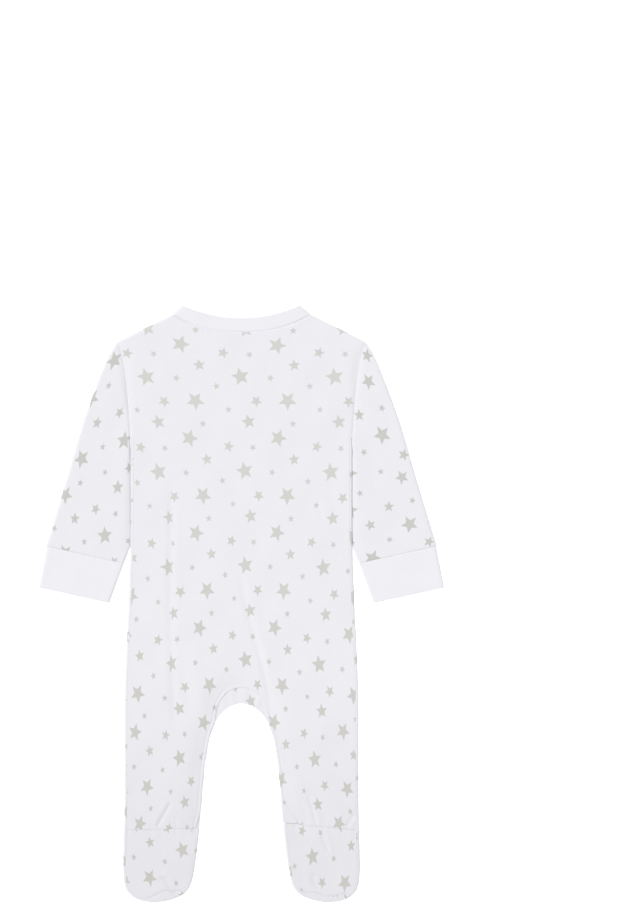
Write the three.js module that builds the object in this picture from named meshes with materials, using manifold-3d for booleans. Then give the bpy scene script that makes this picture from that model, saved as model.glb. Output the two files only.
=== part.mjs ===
// A footed baby sleepsuit of printed cotton jersey, laid flat on its front with its back up.
// Millimetres. X runs across the suit, Y towards the neck and Z up. The origin is under the middle
// of the outline. The wearer's left is at negative X, because the back faces up.

import * as THREE from "three";
import Module from "manifold-3d";
import { mergeVertices } from "three/addons/utils/BufferGeometryUtils.js";

const wasm = await Module();
wasm.setup();

// Cloth and layers
const jersey = 1.2; // wall of one layer
const ribbing = 1.8; // wall of the doubled cuffs and neckband
const seam = 0.3; // clearance between two pieces that are sewn together
const bodyHeight = 5.6; // the two layers of the body with the air between them
const cuffHeight = 5.0; // the same at the cuffs
const roll = bodyHeight / 2; // radius of the fold at the side of the body
const stripLevel = jersey + seam; // underside of the strips that lie on the front
const stripTop = stripLevel + jersey;

// Heights on the garment, from the middle of its length
const underarmY = 157.6;
const thighY = -112;
const crotchY = -95; // top of the gap between the legs
const backCrotchY = -79.8; // edge of the back panel above it
const ankleY = -214.7;
const neckSeamY = 257.6; // lowest point of the back neck seam
const frontNeckSeamY = 222;
const bandTopY = 271.3;
const frontBandTopY = 236;

// Corners of the right half
const neckPoint = new THREE.Vector2(65.8, 274.8);
const hornTip = new THREE.Vector2(56, 283.5);
const shoulderTip = new THREE.Vector2(117.8, 248.8);
const cuffSeamOuter = new THREE.Vector2(184.9, 54.8);
const cuffSeamInner = new THREE.Vector2(111.6, 38.3);
const cuffEndOuter = new THREE.Vector2(192.6, 15.1);
const cuffEndInner = new THREE.Vector2(125.4, 0.5);

// Outer side of the body and leg: half width at each height
const SIDE = [
  { y: 157.6, x: 105.1 },
  { y: 148, x: 105.4 },
  { y: 50, x: 105.6 },
  { y: 0, x: 107.4 },
  { y: -50, x: 109.8 },
  { y: -88, x: 111.2 },
  { y: -180, x: 111.2 },
  { y: -214.7, x: 111.7 },
];

// Inner side of the leg below the arch of the crotch
const INNER = [
  { y: -128, x: 30.4 },
  { y: -151, x: 34.3 },
  { y: -185, x: 37.5 },
  { y: -214.7, x: 40 },
];
const arch = { halfWidth: 32, height: 48, middleY: -143 }; // ellipse of the gap between the legs

// Outline of the foot from the ankle's outer side round the toe to its inner side
const FOOT = [
  { x: 111.7, y: -214.7 },
  { x: 112.6, y: -250 },
  { x: 110.3, y: -269.5 },
  { x: 100.5, y: -280 },
  { x: 84, y: -283.5 },
  { x: 67, y: -281.2 },
  { x: 53.5, y: -274.5 },
  { x: 46.8, y: -262.5 },
  { x: 42.6, y: -238 },
  { x: 40, y: -214.7 },
];

// How far the front is turned over the toe on each foot, beyond its rolled edge
const TOE_FLAP = [
  { x: 46, left: 0, right: 0 },
  { x: 58, left: 2.6, right: 1.8 },
  { x: 70, left: 7.2, right: 5.2 },
  { x: 80, left: 4.6, right: 3 },
  { x: 90, left: 0.4, right: 3.4 },
  { x: 98, left: 0, right: 3 },
  { x: 108, left: 0, right: 0 },
];

const ankleEase = 3.5; // the front's inner edge turns in to the ankle this far above its seam

// Where each leg shows the popper strip above the ankle: the ankle seam's inner end, the height
// at which the back's edge leaves the outline, and how far it has gone in at the ankle.
const SIDES = {
  left: { sign: -1, innerAnkleY: -213, revealFrom: -196, reveal: 3 },
  right: { sign: 1, innerAnkleY: -208, revealFrom: -184, reveal: 12 },
};

const toeFlapY = -262; // the front is turned over the toe only below this height

// Corners of the foot's outline, as shares of its length: the heel's end and the toe's
const heelEnd = 0.3;
const toeEnd = 0.7;

const stripWidth = 16;
const stripStart = 6; // height above the leg at which the strip's arch begins
const placketHalfWidth = 8;
const popper = { radius: 4.5, waist: 3, rim: 0.5, hole: 4.8, height: 2.9, sides: 10 };
const drillLength = 8;
const frontPoppers = { count: 6, top: 229, bottom: -58 };
const legPoppers = { count: 4, top: -120, bottom: -186 };

// The largest folds of the back: a curve from, by way of and to, its depth and its half width.
// Troughs have a negative depth.
const foldSteps = 16;
const foldEnd = 0.12; // share of its length over which a fold keeps the height of its end
const FOLDS = [
  { from: [-66.5, 118], by: [-67, 0], to: [-62, -130], depth: -1, width: 6 },
  { from: [0, 34], by: [13, -28], to: [26, -76], depth: -1.1, width: 7 },
  { from: [-47, -40], by: [-45, -66], to: [-38, -95], depth: 0.6, width: 8 },
  { from: [70, 97], by: [73, 90], to: [77, 78], depth: -0.6, width: 4 },
  { from: [72, 52], by: [84, 54], to: [94, 44], depth: -0.6, width: 4 },
  { from: [113, 240], by: [109, 222], to: [107.5, 190], depth: -1, width: 5 },
  { from: [-113, 240], by: [-109, 222], to: [-107.5, 190], depth: -1, width: 5 },
  { from: [-66, -188], by: [-73, -200], to: [-82, -214], depth: -0.9, width: 4 },
  { from: [62, -180], by: [72, -196], to: [73, -214], depth: 0.7, width: 4 },
  { from: [78, -218], by: [80, -230], to: [86, -240], depth: -0.7, width: 4 },
  { from: [-78, -256], by: [-68, -262], to: [-65, -272], depth: -0.8, width: 4 },
  { from: [70, -252], by: [69, -260], to: [70, -268], depth: -0.8, width: 5 },
];
for (const fold of FOLDS) {
  const ends = [fold.from, fold.by, fold.to].map((p) => new THREE.Vector2(...p));
  fold.points = new THREE.QuadraticBezierCurve(...ends).getPoints(foldSteps);
}

// Height that the folds add to the upper layer at a place.
function foldHeight(x, y) {
  let height = 0;
  for (const fold of FOLDS) {
    const near = { squared: Infinity, at: 0 };
    fold.points.forEach((p, i) => {
      const squared = (p.x - x) ** 2 + (p.y - y) ** 2;
      if (squared < near.squared) Object.assign(near, { squared, at: i / foldSteps });
    });
    const fade = Math.sin(Math.PI * Math.min(Math.max(near.at, foldEnd), 1 - foldEnd));
    height += fold.depth * fade * Math.exp(-near.squared / fold.width ** 2);
  }
  return height;
}

// The folds move the upper layer of the cloth and leave the lower one flat.
function foldPoint(p) {
  const share = THREE.MathUtils.clamp(p.z / roll - 1, 0, 1);
  if (share > 0) p.z += share * foldHeight(p.x, p.y);
}

// Reads a smooth value of one column from a table whose rows go one way along another column.
function read(table, key, at, column) {
  const last = table.length - 1;
  const between = (row, k) => k < last && (at - row[key]) * (at - table[k + 1][key]) <= 0;
  const found = table.findIndex(between);
  const nearEnd = Math.abs(at - table[0][key]) < Math.abs(at - table[last][key]) ? 0 : last - 1;
  const i = found < 0 ? nearEnd : found;
  const slope = (k) => {
    const [a, b] = [table[Math.max(k - 1, 0)], table[Math.min(k + 1, last)]];
    return (b[column] - a[column]) / (b[key] - a[key]);
  };
  const span = table[i + 1][key] - table[i][key];
  const t = THREE.MathUtils.clamp((at - table[i][key]) / span, 0, 1);
  const rise = table[i + 1][column] - table[i][column];
  const bend = (1 - t) * (slope(i) * span - rise) - t * (slope(i + 1) * span - rise);
  return table[i][column] + rise * t + t * (1 - t) * bend;
}

const span = (count, from, to) =>
  Array.from({ length: count + 1 }, (_, i) => from + ((to - from) * i) / count);

const sideX = (y) => read(SIDE, "y", y, "x");

function innerX(y) {
  if (y < INNER[0].y) return read(INNER, "y", y, "x");
  return arch.halfWidth * Math.sqrt(1 - ((y - arch.middleY) / arch.height) ** 2);
}

// The stretch of the arch from the thigh to the middle, or short of it.
function archPoints(count, endX) {
  const start = Math.asin(innerX(thighY) / arch.halfWidth);
  const end = Math.asin(endX / arch.halfWidth);
  return span(count, start, end).map(
    (a) => new THREE.Vector2(arch.halfWidth * Math.sin(a), arch.middleY + arch.height * Math.cos(a)),
  );
}

// Unit normals of a line of points, on its left as it runs.
function normals(points) {
  return points.map((_, i) => {
    const a = points[Math.max(i - 1, 0)];
    const b = points[Math.min(i + 1, points.length - 1)];
    return new THREE.Vector2(a.y - b.y, b.x - a.x).normalize();
  });
}

const shift = (point, direction, distance) => point.clone().addScaledVector(direction, distance);
const shiftAll = (points, directions, distance) =>
  points.map((p, i) => shift(p, directions[i], typeof distance === "number" ? distance : distance[i]));
const mirror = (points) => points.map((p) => new THREE.Vector2(-p.x, p.y));

// A grid of places between four border lines, row by row from the first to the last.
function patch(first, last, start, end) {
  const [columns, rows] = [first.length - 1, start.length - 1];
  return start.map((_, j) =>
    first.map((_, i) => {
      const [u, v] = [i / columns, j / rows];
      const p = first[i].clone().multiplyScalar(1 - v).addScaledVector(last[i], v);
      p.addScaledVector(start[j], 1 - u).addScaledVector(end[j], u);
      p.addScaledVector(first[0], -(1 - u) * (1 - v)).addScaledVector(first[columns], -u * (1 - v));
      p.addScaledVector(last[0], -(1 - u) * v).addScaledVector(last[columns], -u * v);
      return p;
    }),
  );
}

const mirrorRow = (row) => row.map((p) => new THREE.Vector3(-p.x, p.y, p.z));
const raise = (p, z) => new THREE.Vector3(p.x, p.y, z);
const flatGrid = (grid, z) => grid.map((row) => row.map((p) => raise(p, z)));

// A strip along an edge that bends the cloth over it: one row for each step of the profile, which
// gives the distance in from the edge and the height.
function edgeStrip(points, inward, profile) {
  const steps = profile(0).length;
  return span(steps - 1, 0, steps - 1).map((k) =>
    points.map((p, i) => {
      const [distance, z] = profile(i)[k];
      return raise(shift(p, inward[i], distance), z);
    }),
  );
}

// Part of a round edge, from one angle to another: 0 is underneath, 180 on top.
function roundEdge(radius, bottom, fromDegrees, toDegrees, steps) {
  return span(steps, fromDegrees, toDegrees).map((degrees) => {
    const a = THREE.MathUtils.degToRad(degrees);
    return [radius - radius * Math.sin(a), bottom + radius - radius * Math.cos(a)];
  });
}

// Joins grids whose borders meet into one surface with shared points.
const placesPerMillimetre = 500;
function joinGrids(grids) {
  const points = [];
  const places = new Map();
  const faces = [];
  const number = (p) => {
    const place = [p.x, p.y, p.z].map((c) => Math.round(c * placesPerMillimetre)).join();
    if (!places.has(place)) places.set(place, points.push(p) - 1);
    return places.get(place);
  };
  for (const { grid, flip } of grids) {
    for (let j = 0; j + 1 < grid.length; j++) {
      for (let i = 0; i + 1 < grid[j].length; i++) {
        const [a, b] = [number(grid[j][i]), number(grid[j][i + 1])];
        const [c, d] = [number(grid[j + 1][i + 1]), number(grid[j + 1][i])];
        for (const face of [[a, b, c], [a, c, d]]) {
          if (new Set(face).size === 3) faces.push(flip ? face.reverse() : face);
        }
      }
    }
  }
  return { points, faces };
}

// The open edges of a surface, each as the two points that it runs between.
function openEdges(faces) {
  const uses = new Map();
  for (const [a, b, c] of faces) {
    for (const [from, to] of [[a, b], [b, c], [c, a]]) uses.set(`${from},${to}`, [from, to]);
  }
  return [...uses.values()].filter(([from, to]) => !uses.has(`${to},${from}`));
}

// The surface moved in by the wall's thickness. A rim stands square to the cloth beside it,
// upright on a flat edge and level on a rolled one.
const flatEdge = 0.7; // upward part of the normal from which an edge counts as flat
function innerLayer({ points, faces }, thickness) {
  const directions = points.map(() => new THREE.Vector3());
  for (const [a, b, c] of faces) {
    const edge = points[b].clone().sub(points[a]);
    const normal = edge.cross(points[c].clone().sub(points[a]));
    for (const i of [a, b, c]) directions[i].add(normal);
  }
  for (const i of new Set(openEdges(faces).flat())) {
    const d = directions[i].normalize();
    if (Math.abs(d.z) > flatEdge) d.set(0, 0, Math.sign(d.z));
    else d.z = 0;
  }
  return points.map((p, i) => p.clone().addScaledVector(directions[i].normalize(), -thickness));
}

// Gives a surface its wall: the inner layer and a rim along its open edges.
function wallGeometry({ points, faces }, inner) {
  const rims = openEdges(faces);
  const count = points.length;
  const index = [...faces.flat()];
  for (const [a, b, c] of faces) index.push(a + count, c + count, b + count);
  for (const [a, b] of rims) index.push(b, a, a + count, b, a + count, b + count);
  const geometry = new THREE.BufferGeometry();
  const all = [...points, ...inner].flatMap((p) => [p.x, p.y, p.z]);
  geometry.setAttribute("position", new THREE.Float32BufferAttribute(all, 3));
  geometry.setIndex(index);
  return geometry;
}

// A surface from grids that are drawn on the right, mirrored for the left and given the folds.
function foldedSurface(grids, side) {
  const surface = joinGrids(grids);
  if (side === "left") {
    surface.points.forEach((p) => p.setX(-p.x));
    surface.faces.forEach((face) => face.reverse());
  }
  surface.points.forEach(foldPoint);
  return surface;
}

// The solid of a panel from the grids of its outer face.
function clothSolid(grids, side = "right") {
  const surface = foldedSurface(grids, side);
  return wallGeometry(surface, innerLayer(surface, jersey));
}

// The solid of a tube or band from a function that draws its face at a depth in the wall.
function tubeSolid(gridAt, side, thickness) {
  const [outer, inner] = [0, thickness].map((depth) => foldedSurface([{ grid: gridAt(depth) }], side));
  return wallGeometry(outer, inner.points);
}

// Seam lines of the right half
const armholePull = [new THREE.Vector2(110, 229), new THREE.Vector2(107.4, 192)];
const armhole = new THREE.CubicBezierCurve(
  shoulderTip,
  ...armholePull,
  new THREE.Vector2(SIDE[0].x + 0.4, underarmY),
);
const footCurve = new THREE.SplineCurve(FOOT.map(({ x, y }) => new THREE.Vector2(x, y)));

// Neck lines: shallow at the back, deep at the front. Both run from the edge point to the middle,
// and the front's stops at the placket. A share of 1 is the edge point and 0 the middle.
const openingX = placketHalfWidth + seam;
const shallow = (edge, middleY) => (share) =>
  new THREE.Vector2(edge.x * share, middleY + (edge.y - middleY) * share ** 2);
const deep = (edge, middleY) => {
  const ellipse = span(16, 0, Math.acos(openingX / edge.x)).map(
    (a) => new THREE.Vector2(edge.x * Math.cos(a), edge.y - (edge.y - middleY) * Math.sin(a)),
  );
  const curve = new THREE.SplineCurve(ellipse);
  return (share) => curve.getPointAt(1 - share);
};
const neck = {
  back: { seam: shallow(neckPoint, neckSeamY), top: shallow(hornTip, bandTopY), columns: 8 },
  front: { seam: deep(neckPoint, frontNeckSeamY), top: deep(hornTip, frontBandTopY), columns: 6 },
};
const foldShare = 1 - roll / hornTip.x; // where the band's fold at the shoulder begins
const shoulderTurn = 0.08; // share of the armhole that gives the way in from the shoulder edge
const armholeEnd = 0.99; // share of the armhole at which a panel's side takes over

// The neckline from the fold to the middle, moved off the seam line: up for the band, down for
// the panel.
function neckline(layer, distance) {
  const { seam: line, columns } = neck[layer];
  const points = span(columns, foldShare, 0).map(line);
  return shiftAll(points, normals([line(1), ...points]).slice(1), -distance);
}

// The shoulder edge of a panel from the arm to the neck, with the way in from it: along the
// armhole at one end and along the neckline at the other.
function shoulderEdge(steps, layer) {
  const along = neckPoint.clone().sub(shoulderTip).normalize();
  const ends = [shift(shoulderTip, along, seam / 2), shift(neckPoint, along, -seam / 2)];
  const ways = [
    shift(armhole.getPoint(shoulderTurn), along, seam / 2).sub(ends[0]),
    neckline(layer, -seam / 2)[0].sub(ends[1]),
  ];
  ways[0].setLength(roll);
  const points = span(steps, 0, 1).map((t) => ends[0].clone().lerp(ends[1], t));
  const inward = span(steps, 0, 1).map((t) => ways[0].clone().lerp(ways[1], t).divideScalar(roll));
  return { points, inward };
}

// The armhole border of a panel, from the shoulder's inner end down to the side.
function armholeBorder(first, steps, last) {
  const places = span(steps, 0, armholeEnd).map((t) => armhole.getPoint(t));
  const inset = shiftAll(places, normals(places).map((n) => n.negate()), seam / 2);
  inset[0] = first;
  return [...inset, last];
}

// Outline of the side, ankle and foot, with the way in, at the rows that a panel uses.
function sideOutline(torsoRows, legRows, footRows, toeColumns) {
  const side = [...span(torsoRows, underarmY, thighY), ...span(legRows, thighY, ankleY).slice(1)];
  const down = side.map((y) => new THREE.Vector2(sideX(y), y));
  const heel = span(footRows, 0, heelEnd).slice(1);
  const toe = span(toeColumns, heelEnd, toeEnd).slice(1);
  const back = span(footRows, toeEnd, 1).slice(1);
  const foot = [...heel, ...toe, ...back].map((t) => footCurve.getPointAt(t));
  const points = [...down, ...foot];
  return { points, inward: normals(points).map((n) => n.negate()) };
}

// How far the front is turned over the toe at a place of the outline.
const toeFlap = (p, side) => (p.y < toeFlapY ? Math.max(read(TOE_FLAP, "x", p.x, side), 0) : 0);

// Front: one half with its leg and the top of its foot. It lies flat and rolls up at the side, and
// round the toe, to the seams that it shares with the back and the sole.
function frontGeometry(side) {
  const { innerAnkleY } = SIDES[side];
  const count = { shoulder: 3, armhole: 5, torso: 9, leg: 6, foot: 4, legAcross: 7 };
  const outline = sideOutline(count.torso, count.leg, count.foot, count.legAcross);
  outline.points[outline.points.length - 1].y = innerAnkleY;
  const border = shiftAll(outline.points, outline.inward, roll);
  const part = (from, length) => border.slice(from, from + length + 1);

  const shoulder = shoulderEdge(count.shoulder, "front");
  const shoulderIn = shiftAll(shoulder.points, shoulder.inward, roll);
  const top = [...shoulderIn, ...neckline("front", -seam / 2).slice(1)];
  const outer = armholeBorder(shoulderIn[0], count.armhole - 1, border[0]);
  outer.push(...part(0, count.torso).slice(1));

  const innerLeg = span(count.leg, thighY, innerAnkleY + ankleEase).map(
    (y) => new THREE.Vector2(innerX(y) + seam, y),
  );
  const legTop = span(count.legAcross, 0, 1).map((t) =>
    border[count.torso].clone().lerp(innerLeg[0], t),
  );
  const crotch = archPoints(top.length - 1 - count.legAcross, openingX);
  crotch.forEach((p) => (p.y += seam));
  const bottom = [...legTop, ...crotch.slice(1)];
  const rows = outer.length - 1;
  const middle = span(rows, 0, 1).map((t) => top[top.length - 1].clone().lerp(crotch.at(-1), t));

  const ankleIn = border.at(-1);
  innerLeg[count.leg] = ankleIn;
  const ankleOut = border[count.torso + count.leg];
  const ankle = span(count.legAcross, 0, 1).map((t) => ankleOut.clone().lerp(ankleIn, t));
  const footStart = count.torso + count.leg;
  const legSide = part(count.torso, count.leg);
  const toe = part(footStart + count.foot, count.legAcross);
  const heelIn = part(footStart + count.foot + count.legAcross, count.foot).reverse();

  const curve = roundEdge(roll, 0, 0, 180, 6);
  const wrap = edgeStrip(outline.points, outline.inward, (i) => [
    ...curve,
    [roll + toeFlap(outline.points[i], side), bodyHeight],
  ]);
  const shoulderRoll = roundEdge(roll, 0, 0, 90, 3).map(([d, z]) => [d, z * (1 - seam / bodyHeight)]);

  const grids = [
    { grid: flatGrid(patch(top, bottom, outer, middle), 0), flip: true },
    { grid: flatGrid(patch(legTop, ankle, legSide, innerLeg), 0), flip: true },
    { grid: flatGrid(patch(ankle, toe, part(footStart, count.foot), heelIn), 0), flip: true },
    { grid: wrap, flip: true },
    { grid: edgeStrip(shoulder.points, shoulder.inward, () => shoulderRoll) },
  ];
  return clothSolid(grids, side);
}

// The back's inner edge from the ankle up to the thigh.
const revealCurve = 1.3; // above 1 the edge leaves the outline gently
function backInnerLeg(side, rows) {
  const { innerAnkleY, revealFrom, reveal } = SIDES[side];
  return span(rows, innerAnkleY + seam, thighY).map((y) => {
    const gone = Math.max(0, (revealFrom - y) / (revealFrom - innerAnkleY));
    return new THREE.Vector2(innerX(y) + reveal * gone ** revealCurve, y);
  });
}

// The ankle seam runs straight from its inner end down to the outer side.
function ankleLine(side, inner, outer, columns, drop) {
  const { innerAnkleY } = SIDES[side];
  const width = FOOT[0].x - innerX(innerAnkleY);
  return span(columns, 0, 1).map((t) => {
    const p = outer.clone().lerp(inner, t);
    p.y = THREE.MathUtils.lerp(ankleY, innerAnkleY, (FOOT[0].x - p.x) / width) - drop;
    return p;
  });
}

// The back's inner edge over the crotch, from the right thigh to the left.
const archFullness = 0.92; // below 1 the arch is fuller than an ellipse
function backArch(steps) {
  const rise = backCrotchY - thighY;
  return span(steps, 0, Math.PI).map(
    (a) =>
      new THREE.Vector2(innerX(thighY) * Math.cos(a), thighY + rise * Math.sin(a) ** archFullness),
  );
}

// Back: one piece with both legs down to the ankle seam, over the whole of the front.
function backGeometry() {
  const count = { shoulder: 5, armhole: 6, torso: 16, leg: 9, legAcross: 8, arch: 10 };
  const inset = roll + seam;
  const edgeRadius = bodyHeight - stripTop - seam;
  const outline = sideOutline(count.torso, count.leg, 1, 1);
  const border = shiftAll(outline.points, outline.inward, inset);
  const torsoSide = border.slice(0, count.torso + 1);
  const legSide = border.slice(count.torso, count.torso + count.leg + 1);

  const shoulder = shoulderEdge(count.shoulder, "back");
  const shoulderIn = shiftAll(shoulder.points, shoulder.inward, roll);
  const rightTop = [...shoulderIn, ...neckline("back", -seam / 2).slice(1)];
  const top = [...mirror(rightTop), ...[...rightTop].reverse().slice(1)];
  const rightSide = armholeBorder(shoulderIn[0], count.armhole - 1, torsoSide[0]);
  rightSide.push(...torsoSide.slice(1));

  const legs = { left: backInnerLeg("left", count.leg), right: backInnerLeg("right", count.leg) };
  const over = backArch(count.arch);
  const edge = [...legs.right.slice(0, -1), ...over, ...mirror(legs.left).reverse().slice(1)];
  const inward = normals(edge).map((n) => n.negate());
  const edgeIn = shiftAll(edge, inward, edgeRadius);
  const rightInner = edgeIn.slice(0, count.leg + 1).reverse();
  const archIn = edgeIn.slice(count.leg, count.leg + count.arch + 1);
  const leftInner = edgeIn.slice(count.leg + count.arch);

  const thigh = (inner) =>
    span(count.legAcross, 0, 1).map((t) => legSide[0].clone().lerp(inner, t));
  const rightThigh = thigh(archIn[0]);
  const leftThigh = thigh(mirror([archIn.at(-1)])[0]);
  const bottom = [
    ...mirror(leftThigh).slice(0, -1),
    ...[...archIn].reverse(),
    ...[...rightThigh].reverse().slice(1),
  ];

  const rightAnkle = ankleLine("right", rightInner.at(-1), legSide.at(-1), count.legAcross, -seam);
  const leftAnkle = ankleLine("left", mirror(leftInner).at(-1), legSide.at(-1), count.legAcross, -seam);
  const rightLeg = patch(rightThigh, rightAnkle, [...legSide.slice(0, -1), rightAnkle[0]], [
    ...rightInner.slice(0, -1),
    rightAnkle.at(-1),
  ]);
  const leftLeg = patch(leftThigh, leftAnkle, [...legSide.slice(0, -1), leftAnkle[0]], [
    ...mirror(leftInner).slice(0, -1),
    leftAnkle.at(-1),
  ]);

  const turnDown = roundEdge(edgeRadius, 0, 180, 90, 3).map(([d, z]) => [
    d,
    z + bodyHeight - 2 * edgeRadius,
  ]);
  const shoulderRoll = roundEdge(roll, 0, 180, 90, 3).map(([d, z]) => [
    d,
    Math.max(z, roll + seam / 2),
  ]);
  const shoulderStrip = edgeStrip(shoulder.points, shoulder.inward, () => shoulderRoll);
  const torso = patch(top, bottom, mirror(rightSide), rightSide);
  return clothSolid([
    { grid: flatGrid(torso, bodyHeight), flip: true },
    { grid: flatGrid(rightLeg, bodyHeight) },
    { grid: flatGrid(leftLeg.map(mirror), bodyHeight), flip: true },
    { grid: edgeStrip(edge, inward, () => turnDown) },
    { grid: shoulderStrip, flip: true },
    { grid: shoulderStrip.map(mirrorRow) },
  ]);
}

// Sole: the heel-to-toe piece on top of the foot, between the ankle seam and the toe seam.
function soleGeometry(side) {
  const count = { foot: 4, across: 7 };
  const outline = sideOutline(1, 1, count.foot, count.across);
  outline.points[outline.points.length - 1].y = SIDES[side].innerAnkleY;
  const inset = outline.points.map((p) => roll + seam + toeFlap(p, side));
  const border = shiftAll(outline.points, outline.inward, inset).slice(2);
  const outer = border.slice(0, count.foot + 1);
  const toe = border.slice(count.foot, count.foot + count.across + 1);
  const inner = border.slice(count.foot + count.across).reverse();
  const ankle = ankleLine(side, inner[0], outer[0], count.across, seam);
  outer[0] = ankle[0];
  inner[0] = ankle.at(-1);
  return clothSolid([{ grid: flatGrid(patch(ankle, toe, outer, inner), bodyHeight) }], side);
}

// A ring of a flattened tube at a depth in its wall: along the lower layer, up round one fold,
// back along the upper layer and down round the other.
function tubeRing(width, height, columns, depth) {
  const radius = height / 2;
  const flat = span(columns, radius, width - radius);
  const turn = roundEdge(radius - depth, depth, 0, 180, 4).slice(1, -1);
  return [
    ...flat.map((d) => [d, depth]),
    ...turn.map(([d, z]) => [width - depth - d, z]),
    ...flat.map((d) => [width - d, height - depth]),
    ...[...turn].reverse().map(([d, z]) => [depth + d, z]),
    [flat[0], depth],
  ];
}

// A flattened tube whose plan is a patch between four border curves.
function tubeGrid({ start, end, inner, outer, rows, columns, heights }, depth) {
  return span(rows, 0, 1).map((v) => {
    const [a, b] = [inner(v), outer(v)];
    const width = a.distanceTo(b);
    const height = THREE.MathUtils.lerp(heights[0], heights[1], v);
    return tubeRing(width, height, columns, depth).map(([d, z]) => {
      const u = d / width;
      const p = start(u).multiplyScalar(1 - v).addScaledVector(end(u), v);
      p.addScaledVector(a, 1 - u).addScaledVector(b, u);
      p.addScaledVector(start(0), -(1 - u) * (1 - v)).addScaledVector(start(1), -u * (1 - v));
      p.addScaledVector(end(0), -(1 - u) * v).addScaledVector(end(1), -u * v);
      return raise(p, z);
    });
  });
}

const lineFrom = (a, b) => (t) => a.clone().lerp(b, t);

// Outer edge of the sleeve from the shoulder to the cuff, and its inner edge below the body's side
const SLEEVE_OUTER = [
  [125.3, 236.8],
  [132.8, 219.8],
  [149.8, 174.3],
  [167.5, 114.4],
];
const sleeveOuterEnd = new THREE.Vector2(185.5, 55);
const sleeveInnerTurn = new THREE.Vector2(107.6, 49);
const besideHeights = [underarmY, 140, 100, 60];
const besideGap = 0.5; // clearance between the sleeve and the body's side

// Sleeve: a tube from the armhole to the cuff, lying close beside the body.
function sleeveGeometry(side) {
  const beside = (y) => new THREE.Vector2(sideX(y) + besideGap, y);
  const innerEdge = new THREE.SplineCurve([
    ...besideHeights.map(beside),
    sleeveInnerTurn,
    cuffSeamInner,
  ]);
  const outerEdge = new THREE.SplineCurve([
    shoulderTip,
    ...SLEEVE_OUTER.map((p) => new THREE.Vector2(...p)),
    sleeveOuterEnd,
  ]);
  const armEdge = (u) => {
    const t = 1 - u;
    const along = armhole.getTangent(t);
    return shift(armhole.getPoint(t), new THREE.Vector2(-along.y, along.x), seam / 2);
  };
  const tube = {
    start: armEdge,
    end: lineFrom(innerEdge.getPoint(1), outerEdge.getPoint(1)),
    inner: (v) => (v === 0 ? armEdge(0) : innerEdge.getPointAt(v)),
    outer: (v) => (v === 0 ? armEdge(1) : outerEdge.getPointAt(v)),
    rows: 8,
    columns: 6,
    heights: [bodyHeight, cuffHeight],
  };
  return tubeSolid((depth) => tubeGrid(tube, depth), side, jersey);
}

// Cuff: a doubled tube sewn to the sleeve's end.
function cuffGeometry(side) {
  const away = cuffEndOuter.clone().sub(cuffSeamOuter).setLength(seam);
  const [seamInner, seamOuter] = [cuffSeamInner, cuffSeamOuter].map((p) => p.clone().add(away));
  const tube = {
    start: lineFrom(seamInner, seamOuter),
    end: lineFrom(cuffEndInner, cuffEndOuter),
    inner: lineFrom(seamInner, cuffEndInner),
    outer: lineFrom(seamOuter, cuffEndOuter),
    rows: 2,
    columns: 5,
    heights: [cuffHeight, cuffHeight],
  };
  return tubeSolid((depth) => tubeGrid(tube, depth), side, ribbing);
}

const bandLean = new THREE.Vector2(-0.5, 0.85); // way from the neck point to the horn's tip

// Neckband: a doubled band round the neck, folded at both sides and open at the centre front.
function neckbandGrid(depth) {
  const column = (seamPoint, topPoint, z) =>
    [0, 0.5, 1].map((t) => raise(seamPoint.clone().lerp(topPoint, t), z));
  const layerColumns = (layer, z) => {
    const low = neckline(layer, seam / 2);
    const high = span(neck[layer].columns, foldShare, 0).map(neck[layer].top);
    return low.map((p, i) => column(p, high[i], z));
  };
  const foldStart = { front: neckline("front", seam / 2)[0], back: neckline("back", seam / 2)[0] };
  const fold = roundEdge(roll - depth, depth, 0, 180, 4)
    .slice(1, -1)
    .map(([distance, z]) => {
      const layer = z < roll ? "front" : "back";
      const t = (distance + depth) / roll;
      const edge = shift(neckPoint, bandLean, seam / 2);
      const top = hornTip.clone().lerp(neck[layer].top(foldShare), t);
      return column(edge.lerp(foldStart[layer], t), top, z);
    });
  const front = layerColumns("front", depth).reverse();
  const back = layerColumns("back", bodyHeight - depth);
  const half = [...front, ...fold, ...back];
  return [...half, ...half.slice(0, -1).map(mirrorRow).reverse()];
}

// A flat strip between two lines of points.
const stripGeometry = (one, other, bottom) =>
  clothSolid([{ grid: flatGrid([one, other], bottom) }]);

// Popper strip of the inner legs: from ankle to ankle round the crotch, on the front's edge.
function innerLegStripPoints() {
  const leg = (side) =>
    span(9, SIDES[side].innerAnkleY + 1, INNER[0].y).map((y) => new THREE.Vector2(innerX(y), y));
  const half = archPoints(7, 0);
  const overLeg = half.filter((p) => p.y > INNER[0].y + stripStart);
  const right = [...leg("right"), ...overLeg];
  const left = [...leg("left"), ...overLeg];
  return [...right, ...mirror(left).reverse().slice(1)];
}

// Places of the poppers: down the centre front and down each inner leg.
function popperPlaces() {
  const { count, top, bottom } = frontPoppers;
  const places = span(count - 1, top, bottom).map((y, i) => ({ name: `front_${i + 1}`, x: 0, y }));
  for (const [side, { sign }] of Object.entries(SIDES)) {
    span(legPoppers.count - 1, legPoppers.top, legPoppers.bottom).forEach((y, i) => {
      places.push({ name: `leg_${side}_${i + 1}`, x: sign * (innerX(y) + stripWidth / 2), y });
    });
  }
  return places;
}

function popperGeometry() {
  const { radius, waist, rim, height, sides } = popper;
  const profile = [
    [0, 0],
    [radius - rim, 0],
    [radius, rim],
    [waist, height / 2],
    [radius, height - rim],
    [radius - rim, height],
    [0, height],
  ];
  const geometry = new THREE.LatheGeometry(profile.map((p) => new THREE.Vector2(...p)), sides);
  return geometry.rotateX(Math.PI / 2);
}

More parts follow.
